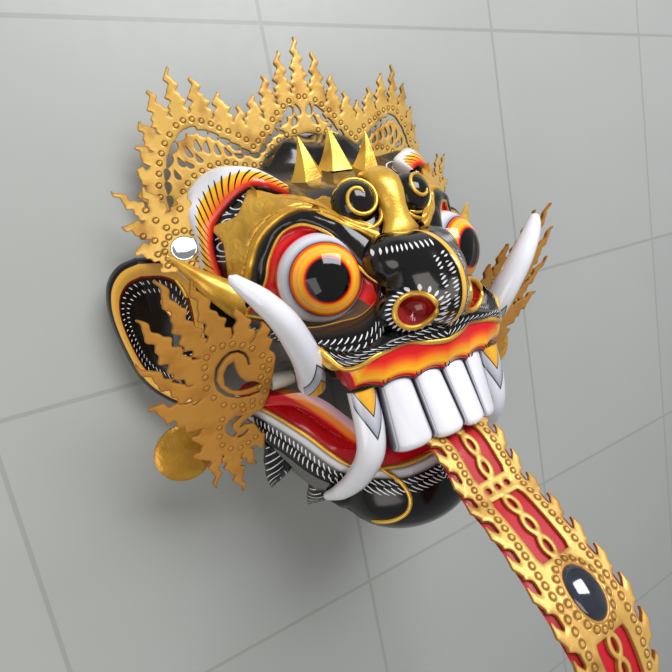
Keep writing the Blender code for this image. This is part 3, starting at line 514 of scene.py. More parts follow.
def incisor(centre):
    # A bulging front with rounded sides, whose grooves are painted by the band shader.
    wide, tall = 41, 33
    across = np.linspace(-1, 1, wide)
    down = np.linspace(0, 1, tall)
    rows = []
    for t in down:
        x = centre + 11.8 * across * (1 - 0.05 * (1 - t))
        bulge = np.clip(1 - np.abs(across) ** 3.2, 0, 1) ** 0.5
        low = gumEdge(x) + 4
        foot = -53.5 - 0.0042 * x ** 2 - 2.6 * (1 - np.abs(across) ** 3)
        y = low * (1 - t) + foot * t
        front = (189 - 0.004 * x ** 2) * (1 - t) + (210.5 - 0.0095 * x ** 2) * t
        z = front - 5.0 * (1 - bulge) - 4.0 * np.clip((t - 0.88) / 0.12, 0, 1) ** 2 - 3.0 * np.clip((0.14 - t) / 0.14, 0, 1) ** 2
        rows.append(np.stack([x, y, z], axis=1))
    rows.append(rows[-1] + [0, 1.5, -8])
    rows.append(rows[0] + [0, 0, -9])
    rows.append(rows[0])
    points = np.array(rows)
    paint = np.stack(np.broadcast_arrays(points[..., 1], (across + 1) / 2), axis=2)
    count = len(rows)
    flat = points.reshape(-1, 3)
    faces = facing(flat[: tall * wide], quads(tall, wide))
    turned = (faces[0] != quads(tall, wide)[0]).any()
    allFaces = [list(f) for f in quads(count, wide, turned)]
    for column in (0, wide - 1):
        allFaces.append([r * wide + column for r in range(count - 1)])
    obj = piece("incisor", flat, allFaces, toothWhite, ("upper_teeth",), paint.reshape(-1, 2))
    shape = bmesh.new()
    shape.from_mesh(obj.data)
    bmesh.ops.remove_doubles(shape, verts=shape.verts, dist=1e-6)
    bmesh.ops.recalc_face_normals(shape, faces=shape.faces)
    shape.to_mesh(obj.data)
    shape.free()


for centre in (-36, -12, 12, 36):
    incisor(centre)

# White lacquer with the V-shaped root mark: grey frame, black lines, gold middle
material, tree, shader = blank("white lacquer on tusks", 0.16, coat=0.6)
tuskWhite = material
split = add(tree, "ShaderNodeSeparateXYZ", {0: add(tree, "ShaderNodeUVMap", uv_map="paint").outputs[0]})
swing = calc(tree, "ABSOLUTE", calc(tree, "SUBTRACT", split.outputs[1], 0.25))
reach = calc(tree, "SUBTRACT", calc(tree, "MULTIPLY_ADD", swing, 125.0, split.outputs[0]), 8.0)
colour = ramp(tree, calc(tree, "DIVIDE", reach, 50.0), [(0.0, "#E2A92E"), (0.2, "#D89A28"), (0.215, "#1C1C20"), (0.235, "#1C1C20"), (0.25,
    "#B9BAC2"), (0.42, "#A4A6B0"),
                                                        (0.5, "#8F929C"), (0.515, "#1C1C20"), (0.54, "#1C1C20"), (0.56, "#D9D9DF"), (1.0, "#DDDDE2")])
tip = calc(tree, "LESS_THAN", swing, 0.2)
colour = blend(tree, tip, "#D9D9DF", colour)
finish(tree, shader, colour, 0.16, 22.0, 0.05)

tusks = {
    "canine": [(59.5, -14, 172), (59.5, -42, 175), (61, -64, 171), (67, -86, 155), (74.5, -100, 138), (80, -108, 122), (81.5, -110, 118.5)],
    "canineSize": [(10.6, 8.5), (11.4, 9), (11.2, 9), (9.8, 8.4), (7.2, 6.4), (3.8, 3.6), (0.8, 0.8)],
    "tusk": [(82, -8, 141), (88, 9, 157), (96.5, 28, 168), (107, 47, 175.5), (119, 63, 177), (128, 73, 175), (133, 79, 173), (134.5, 81, 172.5)],
    "tuskSize": [(10.4, 11.4), (10.6, 11.8), (10.2, 11.2), (9.2, 10.2), (7.6, 8.4), (5.6, 6.2), (3.8, 4.0), (0.8, 0.8)],
}
for side, label in ((-1, "left"), (1, "right")):
    for key, node in (("canine", "upper_canine_"), ("tusk", "lower_tusk_")):
        horn(key, [(side * x, y, z) for x, y, z in tusks[key]], tusks[key + "Size"], tuskWhite, (node + label,), 90, 40)
print("teeth made")

# Pale cut end of a wooden tube, with its grain along it
woodBare = lacquer("bare pale wood of the corner pegs", [(0, "#B9B2A4"), (0.25, "#D2CCBE"), (0.5, "#A9A090"), (0.75, "#CFC8B8"), (1, "#B9B2A4")],
    rough=0.55, grain=180.0)
# Rings of a peg: radius, distance from the middle plane, mark along the grain
peg = {
    "rings": [(0.1, 82, 0), (6.3, 82, 6), (6.5, 83, 7), (6.5, 100.4, 24), (6.1, 101, 25), (3.6, 101, 28), (3.2, 100.4, 29), (3.2, 90, 40), (0.1, 90,
    43)],
    "middle": (92, -8, 105), "sides": 33,
}
for side, label in ((-1, "left"), (1, "right")):
    turn = np.linspace(0, 2 * math.pi, peg["sides"])
    x, y, z = peg["middle"]
    points = np.vstack([np.stack([np.full(len(turn), side * along), y + radius * np.cos(turn), z + radius * np.sin(turn)], axis=1) for radius, along,
        _ in peg["rings"]])
    paint = np.stack([np.repeat([mark for _, _, mark in peg["rings"]], len(turn)), np.tile(turn / (2 * math.pi), len(peg["rings"]))], axis=1)
    piece("corner peg", points, facing(points, quads(len(peg["rings"]), len(turn)), (side * x, y, z)), woodBare, ("corner_peg_" + label,),
        paint)

# Tongue

# Matt red paint on hide
tongueRed = lacquer("red paint on the tongue hide", [(0, "#A60C1E"), (0.5, "#B81024"), (1, "#A60C1E")], rough=0.5, grain=35.0)
fretGold = punched("gold paint on the pierced tongue leather", "#D4A85A", "#A97A3A", 0.46, 0.4, 0.9)
tongue = {
    "path": [(-8, 158), (-30, 161), (-48, 175), (-61, 192), (-70, 206), (-84, 217), (-97, 228), (-107, 244), (-118, 259), (-130, 273), (-142, 287),
             (-156, 298), (-174, 306.5), (-196, 312), (-220, 313.5), (-243, 310), (-262.5, 303)],
    "width": 27.0,
}
tongueLine = smoothLine([(0, y, z) for y, z in tongue["path"]], 260)
tongueRun = lengths(tongueLine)
tongueAhead = np.gradient(tongueLine, axis=0)
tongueAhead /= np.linalg.norm(tongueAhead, axis=1)[:, None]
tongueOut = np.stack([np.zeros(260), tongueAhead[:, 2], -tongueAhead[:, 1]], axis=1)
tongueEnd = tongueRun[-1]


def tongueLay(w, s, h):
    s = np.clip(s, 0, tongueEnd)
    base = np.stack([np.interp(s, tongueRun, tongueLine[:, k]) for k in range(3)], axis=1)
    out = np.stack([np.interp(s, tongueRun, tongueOut[:, k]) for k in range(3)], axis=1)
    base[:, 0] += w
    return base + out * np.asarray(h, float).reshape(-1, 1) * np.ones((len(s), 1))


def tongueHalf(s):
    t = s / tongueEnd
    return (tongue["width"] + 3 * np.exp(-((t - 0.62) / 0.12) ** 2)) * np.minimum(1.0, (np.maximum(1 - t, 0) / 0.26) ** 0.7) + 0.6


rows = np.linspace(0, tongueEnd, 240)
columns = np.linspace(-1, 1, 41)
s, c = np.meshgrid(rows, columns, indexing="ij")
w = c * tongueHalf(s)
over = tongueLay(w.ravel(), s.ravel(), 2.2 * (1 - np.abs(c.ravel()) ** 8))
under = tongueLay(w.ravel(), s.ravel(), np.zeros(w.size))
upper = facing(over, quads(240, 41))
faces = np.vstack([upper, upper[:, ::-1] + len(over)])
paint = np.stack([s.ravel(), (c.ravel() + 1) / 2], axis=1)
piece("tongue hide", np.vstack([over, under]), faces, tongueRed, ("tongue",), np.vstack([paint, paint]))

fretFlames = [64 + 19.5 * k for k in range(15)]


def fretEdge(side):
    # From the mouth to the tip: each flame leans back towards the mouth.
    line = []
    for foot in fretFlames:
        wide = float(tongueHalf(np.array(foot)))
        after = min(foot + 18.5, tongueEnd - 12)
        nextWide = float(tongueHalf(np.array(after)))
        line.append((side * (wide - 5), foot))
        for reach, along in ((1.0, -3.5), (3.2, -7.5), (4.0, -12.0), (4.6, -7.0), (5.2, -3.0), (3.8, 0.5), (3.0, 3.0), (3.4, 5.0), (1.2, 6.5)):
            t = 1.0 if foot < tongueEnd - 90 else 0.7
            line.append((side * (wide - 5 + reach * t * 1.55), foot + along * t + 5))
        line.append((side * (0.4 * wide + 0.6 * nextWide - 5), foot + 13.5))
    return line


right = fretEdge(1)
loop = right + [(0, tongueEnd - 6)] + fretEdge(-1)[::-1]
holes = []
fretRings = []
gemAt = float(np.interp(142, -tongueLine[:, 1], tongueRun))
slots = ((58, 110), (124, gemAt - 22), (gemAt + 22, gemAt + 62), (gemAt + 74, gemAt + 108))
for low, high in slots:
    # Slots on both sides of a chain of oval links
    links = max(2, round((high - low) / 15))
    run = np.linspace(low + 1, high - 1, 50)
    narrow = 1.0 if high < tongueEnd - 60 else 0.7
    inner = narrow * (2.3 + 2.9 * np.abs(np.sin(math.pi * links * (run - low) / (high - low))) ** 0.8)
    outer = narrow * (13.4 - 1.6 * np.clip(1 - np.minimum(run - low, high - run) / 5, 0, 1))
    for side in (-1, 1):
        holes.append([(side * w, s) for w, s in zip(inner, run)] + [(side * w, s) for w, s in zip(outer[::-1], run[::-1])])
    for k in range(links):
        middle = low + (k + 0.5) * (high - low) / links
        holes.append([(narrow * 2.1 * math.cos(a), middle + 4.2 * math.sin(a)) for a in np.linspace(0, 2 * math.pi, 17)[:-1]])
for middle, narrow in ((117, 1), (gemAt + 68, 0.8)):
    for w in (-8.6, 0, 8.6):
        holes.append([(narrow * (w + 2.5 * math.cos(a)), middle + 2.5 * math.sin(a)) for a in np.linspace(0, 2 * math.pi, 15)[:-1]])
for side in (-1, 1):
    for s in np.arange(62, tongueEnd - 40, 6.2):
        wide = float(tongueHalf(np.array(s)))
        fretRings.append((side * (wide - 9.2), s))
for a in np.linspace(0, 2 * math.pi, 19)[:-1]:
    fretRings.append((15.5 * math.cos(a), gemAt + 19.5 * math.sin(a)))
cutSheet("tongue fretwork leather", [loop] + holes, lambda w, s, h: tongueLay(w, s, h + 2.6), 2.2, fretGold, "tongue_fretwork", 0.75,
         fretRings, relief=lambda w, s: 1.2 * np.exp(-((np.hypot(w / 14, (s - gemAt) / 18) - 1) / 0.16) ** 2), swell=0.35)

# Dark polished cabochon in a gold setting
gemGlass, tree, shader = blank("dark glass cabochon", 0.05, coat=1.0, ior=1.6)
finish(tree, shader, ramp(tree, add(tree, "ShaderNodeTexNoise", {"Vector": add(tree, "ShaderNodeTexCoord").outputs["Object"],
    "Scale": 60.0}).outputs["Fac"],
                          [(0.3, "#0E1016"), (0.7, "#2A2E3A")]), 0.09, 30.0, 0.05, 0.00002)
t = np.linspace(0, 1, 24)[:, None]
turn = np.linspace(0, 2 * math.pi, 61)[None, :]
w = 11.5 * np.sin(t * math.pi / 2) * np.cos(turn)
s = gemAt + 15.5 * np.sin(t * math.pi / 2) * np.sin(turn)
rise = 4.6 + 6.2 * np.cos(t * math.pi / 2) ** 0.8 + 0 * turn
points = tongueLay(w.ravel(), s.ravel(), rise.ravel())
centre = tongueLay(np.array([0.0]), np.array([gemAt]), np.array([-6.0]))[0]
piece("tongue gem", points, facing(points, quads(24, 61), centre), gemGlass, ("tongue_gem",))
turn = np.linspace(0, 2 * math.pi, 49)
bead("gem setting", tongueLay(12.2 * np.cos(turn), gemAt + 16.2 * np.sin(turn), np.full(49, 5.2)), 1.5, fretGold, "tongue_gem", 120)
print("tongue laid")

# Ears and their discs

lineGold = gilt("gold paint on carved wood", "#E6B548", "#B9832B", 0.3, 0.5)
discGold = gilt("beaten gold leaf on the ear discs", "#D9A63C", "#B27C28", 0.34, 0.5, 40.0, 0.0012)

earPaint = lacquer("painted ears under lacquer", [(0.0, "#0E0C0A"), (0.33, "#0E0C0A"), (0.335, "#C8963A"), (0.45, "#DDAE4C"), (0.455, "#7C1016"),
    (0.475, "#7C1016"),
                                                 (0.48, "#0E0C0A"), (1.0, "#0E0C0A")],
                   [{"from": 0.50, "to": 0.545, "step": 6.6, "width": 0.1, "lean": 0.4}, {"from": 0.59, "to": 0.635, "step": 6.6, "width": 0.1,
                   "lean": 0.4}], rough=0.25)
ear = {
    "middle": (161, 38),
    "outline": [(165, 106), (179, 102), (189, 92), (194, 78), (195, 60), (192, 35), (186, 10), (176, -8), (160, -24), (149, -30), (140, -24), (133,
    0), (126, 30), (123, 60), (126, 85), (142, 101)],
    "profile": [(0.74, 0, 0), (0.9, 8, 0.1), (1.0, 19, 0.22), (0.985, 25, 0.28), (0.95, 28, 0.31), (0.9, 28.5, 0.35), (0.84, 26.5, 0.4), (0.78, 23,
    0.45), (0.7, 18, 0.52), (0.58, 13, 0.62),
                (0.42, 9.5, 0.75), (0.25, 8, 0.88), (0.01, 8, 1.0)],
    "curls": [[(152, 98, 0.86), (142, 90, 0.78), (135, 76, 0.8), (133, 66, 0.86)], [(152, 68, 0.3), (148, 56, 0.4), (140, 42, 0.62), (134, 32, 0.8)]],
}
disc = {"x": 171, "y": -52, "z": 65.8, "radius": 23}
turnCount = 121
closed = smoothLine(ear["outline"] + ear["outline"][:1], turnCount)
for side, label in ((-1, "left"), (1, "right")):
    line = smoothLine(ear["profile"], 60)
    run = lengths(closed)
    rows = []
    for reach, height, _ in line:
        flat = np.array(ear["middle"]) + reach * (closed - ear["middle"])
        rows.append(np.stack([side * flat[:, 0], flat[:, 1], 5 + height + 0.25 * (166 - flat[:, 0]) * reach], axis=1))
    points = np.vstack(rows)
    paint = np.stack([np.tile(run, 60), np.repeat(line[:, 2], turnCount)], axis=1)
    piece("ear", points, facing(points, quads(60, turnCount), (side * 160, 40, -60)), earPaint, ("ear_" + label,), paint)
    for curl in ear["curls"]:
        bead("ear curl", [(side * x, y, 13 + 24 * r) for x, y, r in curl], 2.4, lineGold, "ear_" + label, 40)
    circle = [(side * disc["x"] + disc["radius"] * math.cos(a), disc["y"] + disc["radius"] * math.sin(a)) for a in np.linspace(0, 2 * math.pi,
        60)[:-1]]
    cutSheet("ear disc", [circle], lambda x, y, h: np.stack([x, y, disc["z"] + h + 0 * x], axis=1), 1.6, discGold, "ear_disc_" + label,
        0.8, (),
             relief=lambda x, y: 4.2 * np.sqrt(np.clip(1 - (np.hypot(np.abs(x) - disc["x"], y - disc["y"]) / (disc["radius"] + 1)) ** 2, 0, 1)),
             swell=0.2)
print("ears made")

# Lower jaw

jaw = {
    "outline": [(0, -163), (12, -162.5), (24, -160), (36, -154), (48, -145), (59, -135), (69, -125), (78, -114), (86, -102), (93, -90), (99, -79),
    (104, -70), (110, -57), (115, -44), (116, -24), (106, -18), (90, -17), (80, -18), (68, -30), (52, -50), (32, -65), (0, -66)],
    "inner": [(0, -66, 150), (30, -67, 146), (52, -50, 138), (68, -30, 133), (84, -18, 122), (104, -16, 100)],
    "gold": [(0, -88, 158), (35, -90, 150), (62, -83, 130), (84, -56, 110), (100, -38, 90), (113, -26, 70)],
    "foot": 60,
}


def lift(x, y, line, radius):
    # Height of a round rod that lies along a line of points.
    best = np.full(np.shape(x), -60.0)
    for (x0, y0, z0), (x1, y1, z1) in zip(line[:-1], line[1:]):
        size = (x1 - x0) ** 2 + (y1 - y0) ** 2 + 1e-9
        t = np.clip(((x - x0) * (x1 - x0) + (y - y0) * (y1 - y0)) / size, 0, 1)
        away = np.hypot(x - x0 - t * (x1 - x0), y - y0 - t * (y1 - y0))
        best = np.maximum(best, np.where(away < radius, z0 + t * (z1 - z0) + np.sqrt(np.clip(radius ** 2 - away ** 2, 0, None)), -60.0))
    return best


def softMax(a, b, width):
    h = np.clip(0.5 + 0.5 * (a - b) / width, 0, 1)
    return b * (1 - h) + a * h + width * h * (1 - h)


def dome(x, y, centre, radii, power=2.0):
    reach = (np.abs(x - centre[0]) / radii[0]) ** power + (np.abs(y - centre[1]) / radii[1]) ** power
    return np.where(reach < 1, centre[2] + radii[2] * np.clip(1 - reach, 0, 1) ** (1 / power), -60.0)


goldLine = smoothLine(jaw["gold"], 60)
innerLine = smoothLine(jaw["inner"], 60)


def jawFront(x, y):
    # Two rolls follow the gold line, one slopes into the mouth, and the chin is a dome.
    x = np.abs(x)
    z = np.maximum(lift(x, y, goldLine, 22) - 21.5, jaw["foot"])
    z = softMax(z, lift(x, y, innerLine, 14) - 13.5, 6)
    roll = [(px + 9, py - 16, pz - 20) for px, py, pz in goldLine]
    z = softMax(z, lift(x, y, roll, 30) - 24, 8)
    return softMax(z, dome(x, y, (0, -117, 120), (64, 44, 54)), 5)


def nearLine(x, y, line):
    # Signed distance in plan to a line, positive on its outer side, and the length along it.
    x = np.abs(x)
    run = lengths(line)
    best = np.full(x.shape, 1e9)
    signed = np.zeros(x.shape)
    place = np.zeros(x.shape)
    for k in range(len(line) - 1):
        (x0, y0), (x1, y1) = line[k][:2], line[k + 1][:2]
        dx, dy = x1 - x0, y1 - y0
        t = np.clip(((x - x0) * dx + (y - y0) * dy) / (dx * dx + dy * dy + 1e-9), 0, 1)
        away = np.hypot(x - x0 - t * dx, y - y0 - t * dy)
        outer = np.sign(dy * (x - x0) - dx * (y - y0))
        closer = away < best
        best = np.where(closer, away, best)
        signed = np.where(closer, away * outer, signed)
        place = np.where(closer, run[k] + t * (run[k + 1] - run[k]), place)
    return signed, place


jawPaint = lacquer("painted lower jaw under lacquer", [(0.0, "#D9A9C4"), (0.1, "#E8B7B4"), (0.14, "#F08A2A"), (0.19, "#F07A1E"), (0.22, "#C8101C"),
    (0.47, "#C8101C"), (0.48, "#E0AC3E"),
                                                      (0.52, "#E0AC3E"), (0.525, "#5B5B60"), (0.56, "#E4E4E8"), (0.6, "#C9CAD0"), (0.63, "#5B5B60"),
                                                      (0.64, "#0E0C0A"), (1.0, "#0E0C0A")],
                   [{"from": 0.65, "to": 0.72, "step": 4.4, "width": 0.15, "lean": 0.7, "curl": 0.5}, {"from": 0.735, "to": 0.83, "step": 4.4,
                   "width": 0.14, "lean": 0.9, "curl": 0.6}])


def jawBack(x, y):
    return np.maximum(np.minimum(jawFront(x, y) - 12, dome(np.abs(x), y, (0, -36, 20), (94, 104, 140), 3)), 46)


def jawBody():
    loop = jaw["outline"] + [(-x, y) for x, y in jaw["outline"][::-1] if x > 0]
    obj = cutSheet("lower jaw carving", [loop], lambda x, y, h: np.stack([x, y, jawBack(x, y) * (1 - h) + jawFront(x, y) * h], axis=1), 1.0, jawPaint,
                   "lower_jaw", 1.1)
    count = len(obj.data.vertices)
    co = np.empty(count * 3)
    obj.data.vertices.foreach_get("co", co)
    co = co.reshape(-1, 3) * 1000
    signed, place = nearLine(co[:, 0], co[:, 1], goldLine)
    v = np.clip(0.5 + signed / 60, 0, 1)
    corner = np.empty(len(obj.data.loops), int)
    obj.data.loops.foreach_get("vertex_index", corner)
    obj.data.uv_layers["paint"].data.foreach_set("uv", np.stack([place, v], axis=1)[corner].astype(np.float32).ravel())


jawBody()
for side in (-1, 1):
    line = goldLine * [side, 1, 1]
    line[:, 2] = jawFront(line[:, 0], line[:, 1]) + 0.4
    bead("jaw gold line", line, 1.7, lineGold, "lower_jaw", 90)
chinArc = smoothLine([(43, -87), (40, -92), (36, -97), (33, -103), (31.5, -110), (32, -117), (34.5, -124), (39, -129), (46, -133), (54, -134)], 60)
for side in (-1, 1):
    line = np.column_stack([side * chinArc[:, 0], chinArc[:, 1], jawFront(chinArc[:, 0], chinArc[:, 1]) + 0.5])
    bead("chin gold arc", line, 1.7, lineGold, "lower_jaw", 80)
tuftPaint = lacquer("black tufts with white curls", [(0, "#0E0C0A"), (1, "#0E0C0A")], [{"from": 0.02, "to": 0.24, "step": 8, "width": 0.085,
    "lean": 1.6, "curl": 1.0}, {"from": 0.26, "to": 0.48, "step": 8, "width": 0.085, "lean": -1.6, "curl": -1.0}], rough=0.2)
for side in (-1, 1):
    for path in ([(92, -70, 78), (98, -88, 72), (103, -101, 66), (106, -113, 60)], [(60, -106, 92), (66, -122, 80), (71, -133, 68), (75, -143, 60)]):
        horn("jaw tuft", [(side * x, y, z) for x, y, z in path], [(17, 12), (14, 11), (7.5, 7), (0.7, 0.7)], tuftPaint, ("lower_jaw",),
            36, 28)
print("jaw carved")

# Face

face = {
    "outline": [(0, 186), (12, 185.5), (22, 183), (31, 179), (38, 173), (44, 166), (50, 160), (64, 159), (80, 161), (96, 158), (104, 155), (109,
    150), (114, 144), (117, 138), (118, 122), (115, 102),
                (110, 80), (108, 55), (107, 30), (106, 6), (96, 6), (84, 7), (73, 3), (70, -6), (60, -8), (48, -9), (24, -9), (0, -9)],
    "rimTop": [(107, 47, 96), (93, 67, 114), (88, 85, 122), (79, 100, 128), (71, 105, 136), (61, 104, 142), (50, 94, 152), (42, 76, 160), (36, 63,
    168), (29, 53, 176)],
    "rimLow": [(107, 47, 96), (94, 41, 118), (82, 34, 138), (73, 32, 149), (58, 33, 158), (47, 35, 167), (37, 42, 173), (29, 53, 176)],
    "blackTop": [(106, 50, 94), (99, 69, 104), (96, 84, 112), (88, 99, 116), (77, 110, 128), (63, 115, 136), (52, 112, 142), (45, 107, 149), (39,
    101, 156), (30, 92, 162), (20, 80, 168)],
    "goldTop": [(107, 55, 86), (103, 68, 95), (100, 84, 105), (92, 102, 110), (81, 114, 121), (68, 118, 131), (54, 118, 135), (45, 111, 146), (38,
    103, 157), (31, 97, 163), (20, 92, 166)],
    "leafTop": [(112, 59, 72), (109, 76, 82), (108, 91, 85), (107, 105, 82), (110, 117, 74), (97, 121, 94), (91, 129, 100), (83, 139, 98), (77, 132,
    108), (62, 130, 114), (48, 124, 124), (42, 114, 146)],
    "archOut": [(110, 62, 74), (117, 73, 57), (120, 81, 52), (120, 90, 54), (118, 108, 58), (121, 127, 58), (121, 138, 53), (115, 149, 47), (102,
    160, 52), (91, 162, 66), (75, 156, 80),
                (62, 147, 85), (57, 132, 110)],
    "archIn": [(109, 67, 76), (110, 77, 74), (112, 98, 73), (110, 112, 75), (106, 121, 80), (95, 133, 91), (82, 140, 99), (71, 138, 103), (65, 133,
    109), (60, 128, 116)],
    "bagLow": [(107, 40, 90), (103, 31, 112), (92, 23, 138), (78, 15, 162), (62, 12, 178), (48, 15, 185), (38, 26, 186), (31, 44, 182)],
    "muzzleTop": [(0, 24, 199), (15, 22, 197), (28, 21, 196), (42, 19, 194), (56, 17, 188), (68, 15, 181), (78, 20, 168), (90, 32, 146)],
    "lip": [(0, 9, 200), (15, 11, 197), (28, 14, 192), (45, 12, 190), (55, 10, 189), (65, 6, 185), (73, 6, 178), (79, 14, 172), (84, 24, 164)],
    "spikes": [((0, 147, 88), (0, 182, 88), 18.5), ((28, 141, 90), (32, 175, 94), 17)],
}

# Height of a smooth sheet through these carved points, as the thin-plate sum of r * r * log(r)
guidePoints = [(0, 186, 50), (0, 170, 78), (0, 150, 92), (0, 136, 120), (0, 115, 150), (0, 83, 165), (0, 60, 170), (0, 20, 180), (26, 176, 72), (26,
    145, 92), (27, 128, 138), (27, 105, 158),
               (24, 80, 166), (50, 161, 70), (50, 140, 92), (46, 122, 128), (52, 112, 142), (70, 115, 134), (66, 100, 140), (88, 104, 114), (104, 89,
               97), (103, 70, 98), (108, 47, 96),
               (110, 28, 92), (82, 137, 100), (82, 155, 85), (110, 117, 76), (122, 135, 57), (118, 110, 56), (108, 66, 74), (118, 80, 55), (96, 160,
               58), (64, 160, 62), (117, 139, 50),
               (28, 54, 176), (40, 60, 168), (28, 70, 170), (55, 28, 162), (70, 32, 152), (62, 19, 168), (86, 30, 134), (40, 25, 174), (90, 60, 116),
               (56, 65, 150), (75, 65, 134),
               (0, 14, 196), (28, 18, 188), (45, 18, 187), (60, 14, 184), (75, 14, 174), (88, 28, 150), (0, -18, 196), (30, -18, 192), (50, -14,
               187), (68, -10, 172), (96, 10, 110),
               (106, 8, 80), (107, 30, 84), (84, 12, 158)]
knots = np.array([(s * x, y, z) for x, y, z in guidePoints for s in ((1, -1) if x else (1,))], float)


def plateTerm(square):
    return np.where(square > 0, square * np.log(np.maximum(square, 1e-9)), 0)


count = len(knots)
system = np.zeros((count + 3, count + 3))
system[:count, :count] = plateTerm(((knots[:, None, :2] - knots[None, :, :2]) ** 2).sum(-1)) + np.eye(count) * 60
system[:count, count] = system[count, :count] = 1
system[:count, count + 1:] = knots[:, :2]
system[count + 1:, :count] = knots[:, :2].T
weights = np.linalg.solve(system, np.r_[knots[:, 2], 0, 0, 0])


def guide(x, y):
    x, y = np.asarray(x, float), np.asarray(y, float)
    square = (x[..., None] - knots[:, 0]) ** 2 + (y[..., None] - knots[:, 1]) ** 2
    return plateTerm(square) @ weights[:count] + weights[count] + weights[count + 1] * x + weights[count + 2] * y


def ribbon(name, first, second, material, bulge=2.0, count=140, across=19, power=0.5, side=1, skirt=6.0):
    # A strip between two edge curves, rounded between them, whose edges turn down into the wood.
    a, b = smoothLine(first, count), smoothLine(second, count)
    share = np.linspace(0, 1, across)
    rows = a[:, None] * (1 - share)[None, :, None] + b[:, None] * share[None, :, None]
    normal = np.cross(np.gradient(rows, axis=0), np.broadcast_to((b - a)[:, None], rows.shape))
    normal /= np.linalg.norm(normal, axis=2)[:, :, None] + 1e-9
    if normal[..., 2].sum() < 0:
        normal = -normal
    rows = rows + normal * (bulge * (4 * share * (1 - share)) ** power)[None, :, None]
    rows = np.concatenate([rows[:, :1] - normal[:, :1] * skirt, rows, rows[:, -1:] - normal[:, -1:] * skirt], axis=1)
    share = np.r_[0, share, 1]
    rows[..., 0] *= side
    points = rows.reshape(-1, 3)
    run = lengths((a + b) / 2)
    paint = np.stack(np.broadcast_arrays(run[:, None], share[None, :]), axis=2).reshape(-1, 2)
    piece(name, points, facing(points, quads(count, across + 2)), material, ("face",), paint)


rimLoop = np.vstack([smoothLine(face["rimTop"], 60), smoothLine(face["rimLow"], 60)[-2:0:-1]])
scrolls = [(101, 117), (93, 130), (80, 142), (67, 139), (106, 101)]


def headFront(x, y):
    z = guide(x, y) - 2.5 - 9 * np.clip((13 - y) / 10, 0, 1)
    hole = contourDistance(np.abs(x), y, [[tuple(p[:2]) for p in rimLoop]])
    return z - 34 * np.clip(-hole / 7, 0, 1)


def headBack(x, y):
    head = dome(x, y, (0, 66, -30), (102, 100, 190), 3)
    mouth = dome(x, y, (0, -20, -30), (76, 62, 215), 6)
    return np.maximum(np.minimum(np.maximum(head, mouth), headFront(x, y) - 11), 0)


# Black gloss lacquer; two patches on the forehead and one low on each cheek are tinted dark brown, and white arcs curl
# in the arch's corners
material, tree, shader = blank("black lacquer on carved wood", 0.16, coat=0.3)
blackLacquer = material
scroll = add(tree, "ShaderNodeAttribute", attribute_name="ring").outputs["Fac"]
wave = calc(tree, "PINGPONG", scroll, 1.9)
line = calc(tree, "MULTIPLY", calc(tree, "LESS_THAN", wave, 0.42), calc(tree, "LESS_THAN", scroll, 11.8))
line = calc(tree, "MULTIPLY", line, calc(tree, "GREATER_THAN", scroll, 1.6))
brown = add(tree, "ShaderNodeAttribute", attribute_name="edge").outputs["Fac"]
colour = blend(tree, line, blend(tree, brown, "#0E0C0A", "#3B2C22"), "#DDDDE2")
finish(tree, shader, colour, 0.18, 30.0, 0.15)

loop = face["outline"] + [(-x, y) for x, y in face["outline"][::-1] if x > 0]
head = cutSheet("head carving", [loop], lambda x, y, h: np.stack([x, y, headBack(x, y) * (1 - h) + headFront(x, y) * h], axis=1), 1.0, blackLacquer,
                "face", 1.4)
co = np.empty(len(head.data.vertices) * 3)
head.data.vertices.foreach_get("co", co)
co = co.reshape(-1, 3) * 1000
near = np.min([np.hypot(np.abs(co[:, 0]) - x, co[:, 1] - y) for x, y in scrolls], axis=0)
head.data.attributes["ring"].data.foreach_set("value", near.astype(np.float32))
fore = np.exp(-((np.abs(co[:, 0]) - 42) / 22) ** 2 - ((co[:, 1] - 140) / 16) ** 2) + np.exp(-((np.abs(co[:, 0]) - 90) / 20) ** 2 - ((co[:,
    1] - 20) / 18) ** 2)
head.data.attributes["edge"].data.foreach_set("value", np.clip(fore, 0, 1).astype(np.float32))
print("head carved")

# Enamelled bands, with their order across each strip
archPaint = lacquer("arch bands, white to red", [(0, "#C6C6CC"), (0.08, "#DEDEE3"), (0.55, "#DADAE0"), (0.58, "#F7C21E"), (0.72, "#F9AE1C"), (0.88,
    "#F3781C"), (0.95, "#D8281A"), (0.98, "#B8101A"), (0.995, "#14100E")],
                    [{"from": 0.46, "to": 0.92, "step": 6.4, "width": 0.15, "lean": 0.9, "curl": 0.9, "colour": "#17120F"}])
# The black band is a little lighter along its middle, a faint painted sheen.
browBlack = lacquer("black band over the eye with a faint painted sheen", [(0, "#B8882C"), (0.04, "#0E0C0A"), (0.5, "#181410"), (1, "#0E0C0A")], rough=0.12)
browGold = gilt("smooth gold band", "#EAB94A", "#C48F33", 0.3, 0.55)
leafGilt = gilt("gold leaf relief over the eye", "#E2B048", "#B98A34", 0.34, 0.5, 60.0, 0.0008, 85.0)
bagPaint = lacquer("brown to black roll under the eye", [(0, "#3A2C22"), (0.35, "#30241C"), (0.55, "#0E0C0A"), (1, "#0E0C0A")],
                   [{"from": 0.60, "to": 0.76, "step": 4.6, "width": 0.13, "lean": 0.5, "curl": 0.5}, {"from": 0.82, "to": 0.95, "step": 4.6,
                   "width": 0.13, "lean": 0.5, "curl": 0.5}], rough=0.15)
moustachePaint = lacquer("black lip roll with white hooks", [(0, "#0E0C0A"), (0.93, "#0E0C0A"), (1, "#B8882C")],
                         [{"from": 0.10, "to": 0.42, "step": 5.2, "width": 0.12, "lean": 0.5, "curl": 0.6}, {"from": 0.54, "to": 0.86, "step": 5.2,
                         "width": 0.12, "lean": 0.5, "curl": 0.6}], rough=0.15)
